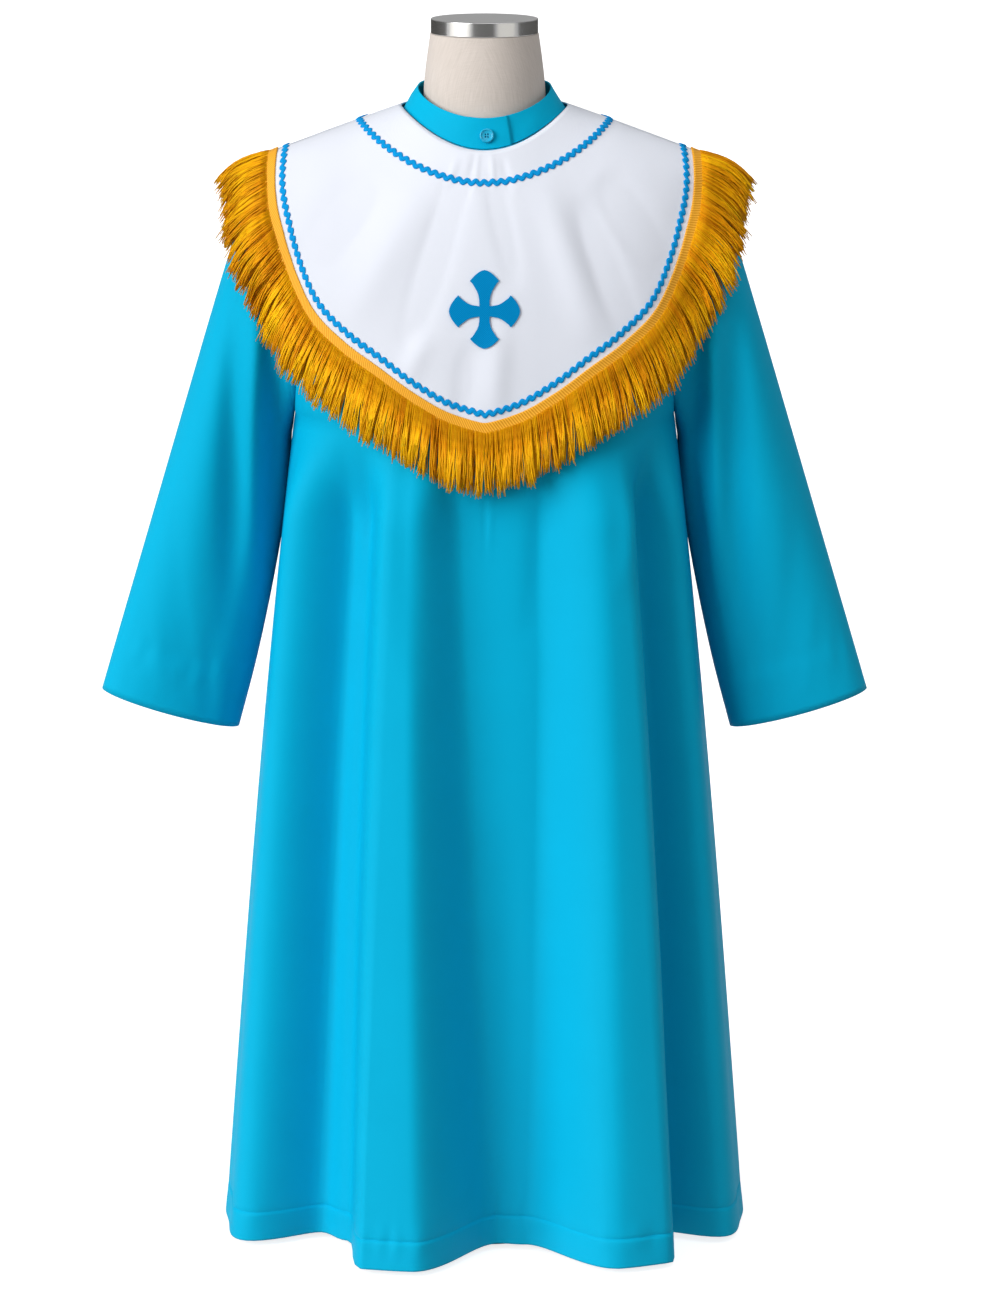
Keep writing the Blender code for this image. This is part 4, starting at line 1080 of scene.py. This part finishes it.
def cape_ends(side, angle):
    """The neck end and the outer end of a column, each as x and turn."""
    neck_x = (NECK_HALF + side.cape_neck - side.neck) * math.sin(angle)
    neck_turn = turn_at_depth(side, neck_x, side.cape_neck * max(0.0, math.cos(angle)))
    reach = cape_line(side, angle) + WHITE_MARGIN + TAPE_WIDTH
    edge_x = reach * math.sin(angle)
    steep = min(abs(angle), SHOULDER_ANGLE)
    edge_z = CAPE_POINT_Z - reach * math.cos(steep)
    edge_turn = turn_at_height(side, reach * math.sin(steep), edge_z)
    over = (abs(angle) - steep) / (math.pi / 2 - SHOULDER_ANGLE)
    return neck_x, neck_turn, edge_x, mix(edge_turn, math.pi / 2, over)


def cape_face(side, angle, share):
    """A point of the cape's outer face, and the way out of it."""
    neck_x, neck_turn, edge_x, edge_turn = cape_ends(side, angle)
    x, turn = mix(neck_x, edge_x, share), mix(neck_turn, edge_turn, share)
    crease = crease_out(CAPE_CREASES, x, bare_yoke(side, x, turn).z) * min(1.0, math.cos(angle) * 3)
    out = CAPE_CLEAR + WALL + CAPE_EASE + crease
    point = yoke(side, x, turn, out)
    outward = (point - bare_yoke(side, x, turn)).normalized()
    point = clear_of(robe_tree, point, CAPE_CLEAR + WALL)
    if turn > SEAM_TURN:
        point.y = 0.0
    point.y += side.sign * SEAM / 2
    return point, outward


CAPE_ROW_COUNT = 40
CAPE_COLUMN_COUNT = 150
cape_degrees = [mix(-90, 90, i / CAPE_COLUMN_COUNT) for i in range(CAPE_COLUMN_COUNT + 1)]
cape_grids, cape_lengths = {}, {}
for side in (FRONT, BACK):
    grid = []
    for degrees in cape_degrees:
        angle = math.radians(degrees)
        grid.append([cape_face(side, angle, i / CAPE_ROW_COUNT) for i in range(CAPE_ROW_COUNT + 1)])
    cape_grids[side] = grid
    columns = []
    for column in grid:
        line = [0.0]
        for (a, _), (b, _) in zip(column, column[1:]):
            line.append(line[-1] + (b - a).length)
        columns.append(line)
    cape_lengths[side] = columns
for side in (FRONT, BACK):
    order = cape_grids[side] if side is FRONT else cape_grids[side][::-1]
    rows = [[column[i][0] for column in order] for i in range(CAPE_ROW_COUNT, -1, -1)]
    name = f"cape_{side.name}"
    cloth_piece(name, rows, cape_poplin, "cape_cloth")


def on_cape(side, degrees, distance, to_edge, out):
    """A point over the cape at a distance from its neck or edge, and the way out of it."""
    at = min(max((degrees + 90) / 180, 0.0), 1.0) * CAPE_COLUMN_COUNT
    k = min(int(at), CAPE_COLUMN_COUNT - 1)
    found = []
    for column in (k, k + 1):
        line, grid = cape_lengths[side][column], cape_grids[side][column]
        wanted = line[-1] - distance if to_edge else distance
        low, high = 0, CAPE_ROW_COUNT
        while high - low > 1:
            middle = (low + high) // 2
            low, high = (middle, high) if line[middle] < wanted else (low, middle)
        share = (wanted - line[low]) / (line[high] - line[low])
        (p, n), (q, m) = grid[low], grid[high]
        found.append((p.lerp(q, share), n.lerp(m, share)))
    (p, n), (q, m) = found
    outward = n.lerp(m, at - k).normalized()
    return p.lerp(q, at - k) + outward * out, outward


def even_degrees(line, step):
    """Angles along a line on the cape, so that its points lie a step apart."""
    fine = [mix(-89.6, 89.6, i / 600) for i in range(601)]
    points = [line(degrees) for degrees in fine]
    lengths = [0.0]
    for a, b in zip(points, points[1:]):
        lengths.append(lengths[-1] + (b - a).length)
    count = max(2, round(lengths[-1] / step))
    found, k = [], 0
    for i in range(count + 1):
        wanted = lengths[-1] * i / count
        while k < len(lengths) - 2 and lengths[k + 1] < wanted:
            k += 1
        share = (wanted - lengths[k]) / (lengths[k + 1] - lengths[k])
        found.append(mix(fine[k], fine[k + 1], share))
    return found


# Zigzag braid: woven cotton ric-rac, about 5 mm wide, whose edges swing in even waves. It lies
# flat round the neck and inside the cape's edge, with slanting threads along its length.
BRAID_PITCH = 0.0080
BRAID_SWING = 0.0014
BRAID_WIDTH = 0.0052
BRAID_RISE = 0.0009
BRAID_STEPS = 12
NECK_BRAID_MIDDLE = 0.0318
NECK_BRAID_SIDE = 0.0420
BRAID_THREAD = 0.0009
BRAID_SECTION = ((-0.5, 0.0), (-0.42, 0.6), (-0.18, 0.95), (0.18, 0.95), (0.42, 0.6), (0.5, 0.0))
braid_cotton, tree, shader = new_material(
    "woven cotton braid", Roughness=0.8, Specular_IOR_Level=0.1
)
uv = add_node(tree, "ShaderNodeTexCoord").outputs["UV"]
slant = add_node(tree, "ShaderNodeMapping", {"Vector": uv, "Rotation": (0, 0, math.radians(35))})
twill = add_waves(tree, slant.outputs["Vector"], BRAID_THREAD, {"Distortion": 0.5})
add_colours(tree, shader, twill, "0084CA", "06A0E2")
add_relief(tree, shader, twill, 0.6, 0.0002)


def strip_piece(name, sections, material, slot, nodes):
    """A closed strip through like sections, each a loop of points, with capped ends."""
    count, size = len(sections), len(sections[0])
    points = [point for section in sections for point in section]
    faces = grid_faces(count, size, True)
    faces.append(tuple(range(size)))
    faces.append(tuple((count - 1) * size + j for j in reversed(range(size))))
    mesh = bpy.data.meshes.new(name)
    mesh.from_pydata(points, [], faces)
    run, wide = [0.0], [0.0]
    for a, b in zip(sections, sections[1:]):
        run.append(run[-1] + (b[0] - a[0]).length)
    for a, b in zip(sections[0], sections[0][1:]):
        wide.append(wide[-1] + (b - a).length)
    layer = mesh.uv_layers.new(name="UVMap")
    for loop in mesh.loops:
        i, j = divmod(loop.vertex_index, size)
        layer.data[loop.index].uv = (run[i], wide[j])
    bm = bmesh.new()
    bm.from_mesh(mesh)
    bmesh.ops.recalc_face_normals(bm, faces=bm.faces)
    bm.to_mesh(mesh)
    bm.free()
    obj = add_piece(name, mesh, material)
    finish_piece(obj, slot, *nodes)
    return obj


def braid_sections(side, surface):
    """surface(degrees, across, out) is a point of the cape beside the braid's line."""
    sections = []
    step = BRAID_PITCH / BRAID_STEPS
    degrees = even_degrees(lambda d: surface(d, 0.0, 0.0), step)
    for i, d in enumerate(degrees):
        phase = 2 * math.pi * i / BRAID_STEPS
        slope = BRAID_SWING * 2 * math.pi / BRAID_PITCH * math.cos(phase)
        flat = math.hypot(1, slope)
        near = degrees[min(i + 1, len(degrees) - 1)] - degrees[max(i - 1, 0)]
        section = []
        for across, rise in BRAID_SECTION:
            half = across * BRAID_WIDTH
            back = 0.75 * half * slope / flat / step * near / 2
            shifted = min(max(d - back, -89.9), 89.9)
            wave = BRAID_SWING * math.sin(phase) + half / flat
            section.append(surface(shifted, wave, LIE + rise * BRAID_RISE))
        sections.append(section)
    return sections


def neck_braid_surface(side):
    def surface(degrees, across, out):
        sideways = math.sin(math.radians(degrees)) ** 2
        distance = mix(NECK_BRAID_MIDDLE, NECK_BRAID_SIDE, sideways) + across
        return on_cape(side, degrees, distance, False, out)[0]

    return surface


def edge_braid_surface(side):
    def surface(degrees, across, out):
        return on_cape(side, degrees, WHITE_MARGIN + TAPE_WIDTH - across, True, out)[0]

    return surface


for side in (FRONT, BACK):
    for label, surface in (("neck", neck_braid_surface(side)), ("edge", edge_braid_surface(side))):
        name = f"{label}_braid_{side.name}"
        strip_piece(name, braid_sections(side, surface), braid_cotton, "zigzag_braid", [name])


# Fringe: a woven heading tape, sewn flat along the cape's edge, from which twisted rayon yarns
# hang in locks. They leave the tape across its edge, bend down under their weight and end ragged.
TAPE_THICK = 0.0010
YARN_RADIUS = 0.00058
YARN_LENGTH = 0.0610
YARN_SIDES = 3
YARN_STEPS = 7
LOCK_PITCH = 0.0088
YARNS_IN_LOCK = 38
YARN_BEND = 0.55
YARN_ROOT = 0.0022
YARN_BEHIND = 0.0060
YARN_BESIDE = 0.0008
YARN_CLEAR = 0.0012
YARN_LAYER = 0.0016
YARN_PLY = 0.0011
TAPE_RIB = 0.0022
TAPE_SECTION = (
    (0.0, 0.0), (0.0, 0.9), (0.12, 1.15), (0.3, 0.9),
    (0.7, 0.9), (0.88, 1.15), (1.0, 0.9), (1.0, 0.0),
)
tape_weave, tree, shader = new_material(
    "woven heading tape", Roughness=0.6, Specular_IOR_Level=0.2
)
uv = add_node(tree, "ShaderNodeTexCoord").outputs["UV"]
slant = add_node(tree, "ShaderNodeMapping", {"Vector": uv, "Rotation": (0, 0, math.radians(-32))})
ribs = add_waves(tree, slant.outputs["Vector"], TAPE_RIB, {"Distortion": 1.0})
add_colours(tree, shader, ribs, "DC8E10", "FFBE3C")
add_relief(tree, shader, ribs, 0.6, 0.0003)

# Each yarn has a tone of its own and a fine twist along its length. Its colour darkens toward
# its root as painted shade, where the tape and the other yarns shade it
gold_yarn, tree, shader = new_material(
    "twisted rayon yarn", Roughness=0.6, Specular_IOR_Level=0.1
)
shade = add_node(tree, "ShaderNodeAttribute", attribute_name="shade").outputs["Fac"]
uv = add_node(tree, "ShaderNodeTexCoord").outputs["UV"]
ply = add_waves(tree, uv, YARN_PLY, {"Distortion": 0.4}, bands_direction="DIAGONAL")
add_colours(tree, shader, shade, "DC8400", "FFC808")
add_relief(tree, shader, ply, 0.4, 0.0002)


def tape_sections(side):
    """Sections of the heading tape: flat under, and slightly raised along both edges."""
    degrees = even_degrees(lambda d: on_cape(side, d, TAPE_WIDTH / 2, True, 0.0)[0], 0.004)
    return [
        [on_cape(side, d, TAPE_WIDTH * a, True, LIE + TAPE_THICK * h)[0] for a, h in TAPE_SECTION]
        for d in degrees
    ]


def yarn_path(side, degrees, layer, lock, rng):
    """Points of one yarn from its root in the tape to its tip."""
    height = LIE + TAPE_THICK * mix(0.35, 0.95, layer)
    root, outward = on_cape(side, degrees, YARN_ROOT, True, height)
    behind, _ = on_cape(side, degrees, YARN_BEHIND, True, LIE + TAPE_THICK * 0.6)
    beside, _ = on_cape(side, min(degrees + 0.5, 90), YARN_BESIDE, True, LIE)
    before, _ = on_cape(side, max(degrees - 0.5, -90), YARN_BESIDE, True, LIE)
    leaving = (root - behind).normalized()
    along = (beside - before).normalized()
    length = YARN_LENGTH * lock["length"] * rng.uniform(0.84, 1.04)
    drift = lock["lean"] + rng.uniform(-0.15, 0.15)
    wave, phase = rng.uniform(0.0004, 0.0016), rng.uniform(0, 6.28)
    point, points = root.copy(), [root]
    for i in range(YARN_STEPS):
        s = (i + 0.5) / YARN_STEPS
        down = YARN_BEND * lock["weight"] * s**1.25
        way = leaving * (1 - down) + Vector((0, 0, -down)) + outward * (0.10 * layer * (1 - s))
        way += along * (drift * s + lock["gather"] * lock["off"] * s)
        point = point + way.normalized() * (length / YARN_STEPS)
        point = clear_of(robe_tree, point, YARN_RADIUS + YARN_CLEAR + YARN_LAYER * layer, 1)
        sway = along * math.sin(phase + s * 7) * wave * s
        points.append(point + sway)
    return points, along


def fringe_mesh(side, seed):
    rng = random.Random(seed)
    edge = even_degrees(lambda d: on_cape(side, d, 0.0, True, 0.0)[0], LOCK_PITCH / 20)
    locks = round(len(edge) / 20)
    places, faces, shades, uvs = [], [], [], []
    for number in range(locks):
        lock = {
            "length": rng.uniform(0.95, 1.04),
            "lean": rng.uniform(-0.10, 0.10),
            "gather": rng.uniform(0.04, 0.16),
            "weight": rng.uniform(0.85, 1.15),
            "off": 0.0,
        }
        tone = rng.uniform(0.3, 0.75)
        for y in range(YARNS_IN_LOCK):
            share = (y + rng.uniform(0.1, 0.9)) / YARNS_IN_LOCK
            at = min((number + share) * (len(edge) - 1) / locks, len(edge) - 1.001)
            degrees = mix(edge[int(at)], edge[int(at) + 1], at % 1)
            lock["off"] = 1 - 2 * share
            layer = rng.choice((0.0, 0.5, 1.0))
            points, along = yarn_path(side, degrees, layer, lock, rng)
            shade = min(1.0, max(0.0, tone + rng.uniform(-0.28, 0.28)))
            start = len(places)
            for i, point in enumerate(points):
                way = (points[min(i + 1, YARN_STEPS)] - points[max(i - 1, 0)]).normalized()
                wide = (along - way * along.dot(way)).normalized()
                thick = way.cross(wide)
                radius = YARN_RADIUS * (1.0 if i < YARN_STEPS else 0.7)
                for corner in range(YARN_SIDES):
                    turn = 2 * math.pi * (corner + 0.5) / YARN_SIDES + i * 0.35
                    places.append(point + (wide * math.cos(turn) + thick * math.sin(turn)) * radius)
                    # painted shade: the colour darkens over the first steps from the root
                    shades.append(shade * mix(0.72, 1.0, min(1.0, i / 3)))
            faces += grid_faces(YARN_STEPS + 1, YARN_SIDES, True, start)
            for i in range(YARN_STEPS):
                for corner in range(YARN_SIDES):
                    u, v = corner * 0.001 + shade, i * YARN_LENGTH / YARN_STEPS
                    step = YARN_LENGTH / YARN_STEPS
                    uvs += (u, v, u + 0.001, v, u + 0.001, v + step, u, v + step)
            faces.append(tuple(start + c for c in reversed(range(YARN_SIDES))))
            faces.append(tuple(start + YARN_STEPS * YARN_SIDES + c for c in range(YARN_SIDES)))
            uvs += (0.0, 0.0) * (2 * YARN_SIDES)
    mesh = bpy.data.meshes.new("yarns")
    mesh.from_pydata(places, [], faces)
    mesh.attributes.new("shade", "FLOAT", "POINT").data.foreach_set("value", shades)
    mesh.uv_layers.new(name="UVMap").data.foreach_set("uv", uvs)
    return mesh


for side, seed in ((FRONT, 3), (BACK, 5)):
    name = f"fringe_{side.name}"
    strip_piece(f"fringe_tape_{side.name}", tape_sections(side), tape_weave, "fringe_yarn", [])
    yarns = add_piece(name, fringe_mesh(side, seed), gold_yarn)
    finish_piece(yarns, "fringe_yarn", name)


# Cross: blue satin cloth cut out by hand, with fine slanting threads that break up its colour.
# Each arm flares to a rounded end with a slight point.
CROSS_THREAD = 0.0010
CROSS_Z = 0.9200
CROSS_THICK = 0.0006
CrossRow = namedtuple("CrossRow", "reach half")
CROSS_ARM = (
    CrossRow(0.0048, 0.0048),
    CrossRow(0.0090, 0.0051),
    CrossRow(0.0135, 0.0059),
    CrossRow(0.0170, 0.0074),
    CrossRow(0.0200, 0.0094),
    CrossRow(0.0235, 0.0118),
    CrossRow(0.0350, 0.0144),
)
CROSS_END_DROP = 0.0092
CrossArm = namedtuple("CrossArm", "name turn reach half")
CROSS_ARMS = (
    CrossArm("up", 0, 1.085, 0.95),
    CrossArm("viewer's left", 90, 0.950, 1.03),
    CrossArm("down", 180, 0.985, 0.94),
    CrossArm("viewer's right", 270, 0.950, 1.03),
)
cross_satin, tree, shader = new_material(
    "blue satin applique", Roughness=0.6, Specular_IOR_Level=0.03
)
place = add_node(tree, "ShaderNodeTexCoord").outputs["Object"]
threads = add_waves(tree, place, CROSS_THREAD, {"Distortion": 1.5}, bands_direction="DIAGONAL")
add_colours(tree, shader, threads, "0072AE", "0090CA")
add_relief(tree, shader, threads, 0.4, 0.0002)

front_rows = [[column[i][0] for column in cape_grids[FRONT]] for i in range(CAPE_ROW_COUNT, -1, -1)]
front_cape_tree = tree_of((front_rows, False))


def on_chest(x, z, out):
    """A point on the cape's front at x and z, moved out."""
    hit, normal, _, _ = front_cape_tree.ray_cast(Vector((x, -1.0, z)), Vector((0, 1, 0)))
    return hit + (normal if normal.y < 0 else -normal) * out


bm = bmesh.new()
across_steps = [i / 6 for i in range(-6, 7)]
for arm in CROSS_ARMS:
    turn = math.radians(arm.turn)
    rows = []
    for row in CROSS_ARM:
        line = []
        at_end = row is CROSS_ARM[-1]
        for step in across_steps:
            w = row.reach - (CROSS_END_DROP * abs(step) ** 1.7 if at_end else 0)
            if row is not CROSS_ARM[0]:
                w *= arm.reach
            u = step * row.half * (1 if row is CROSS_ARM[0] else arm.half)
            x = u * math.cos(turn) - w * math.sin(turn)
            z = u * math.sin(turn) + w * math.cos(turn)
            line.append(bm.verts.new(on_chest(x, CROSS_Z + z, 3 * LIE)))
        rows.append(line)
    middle = bm.verts.new(on_chest(0, CROSS_Z, 3 * LIE))
    for a, b in zip(rows[0], rows[0][1:]):
        bm.faces.new((middle, a, b))
    for lower, upper in zip(rows, rows[1:]):
        for i in range(len(across_steps) - 1):
            bm.faces.new((lower[i], lower[i + 1], upper[i + 1], upper[i]))
bmesh.ops.remove_doubles(bm, verts=bm.verts, dist=0.0001)
bmesh.ops.recalc_face_normals(bm, faces=bm.faces)
if sum(face.normal.y for face in bm.faces) > 0:
    bmesh.ops.reverse_faces(bm, faces=bm.faces)
mesh = bpy.data.meshes.new("cross_applique")
bm.to_mesh(mesh)
bm.free()
cross = add_piece("cross_applique", mesh, cross_satin)
thicken = cross.modifiers.new("cloth", "SOLIDIFY")
thicken.thickness = CROSS_THICK
thicken.offset = 1
apply_modifiers(cross)
bpy.ops.object.shade_smooth_by_angle(angle=math.radians(30))
finish_piece(cross, "cross_cloth", "cross_applique")
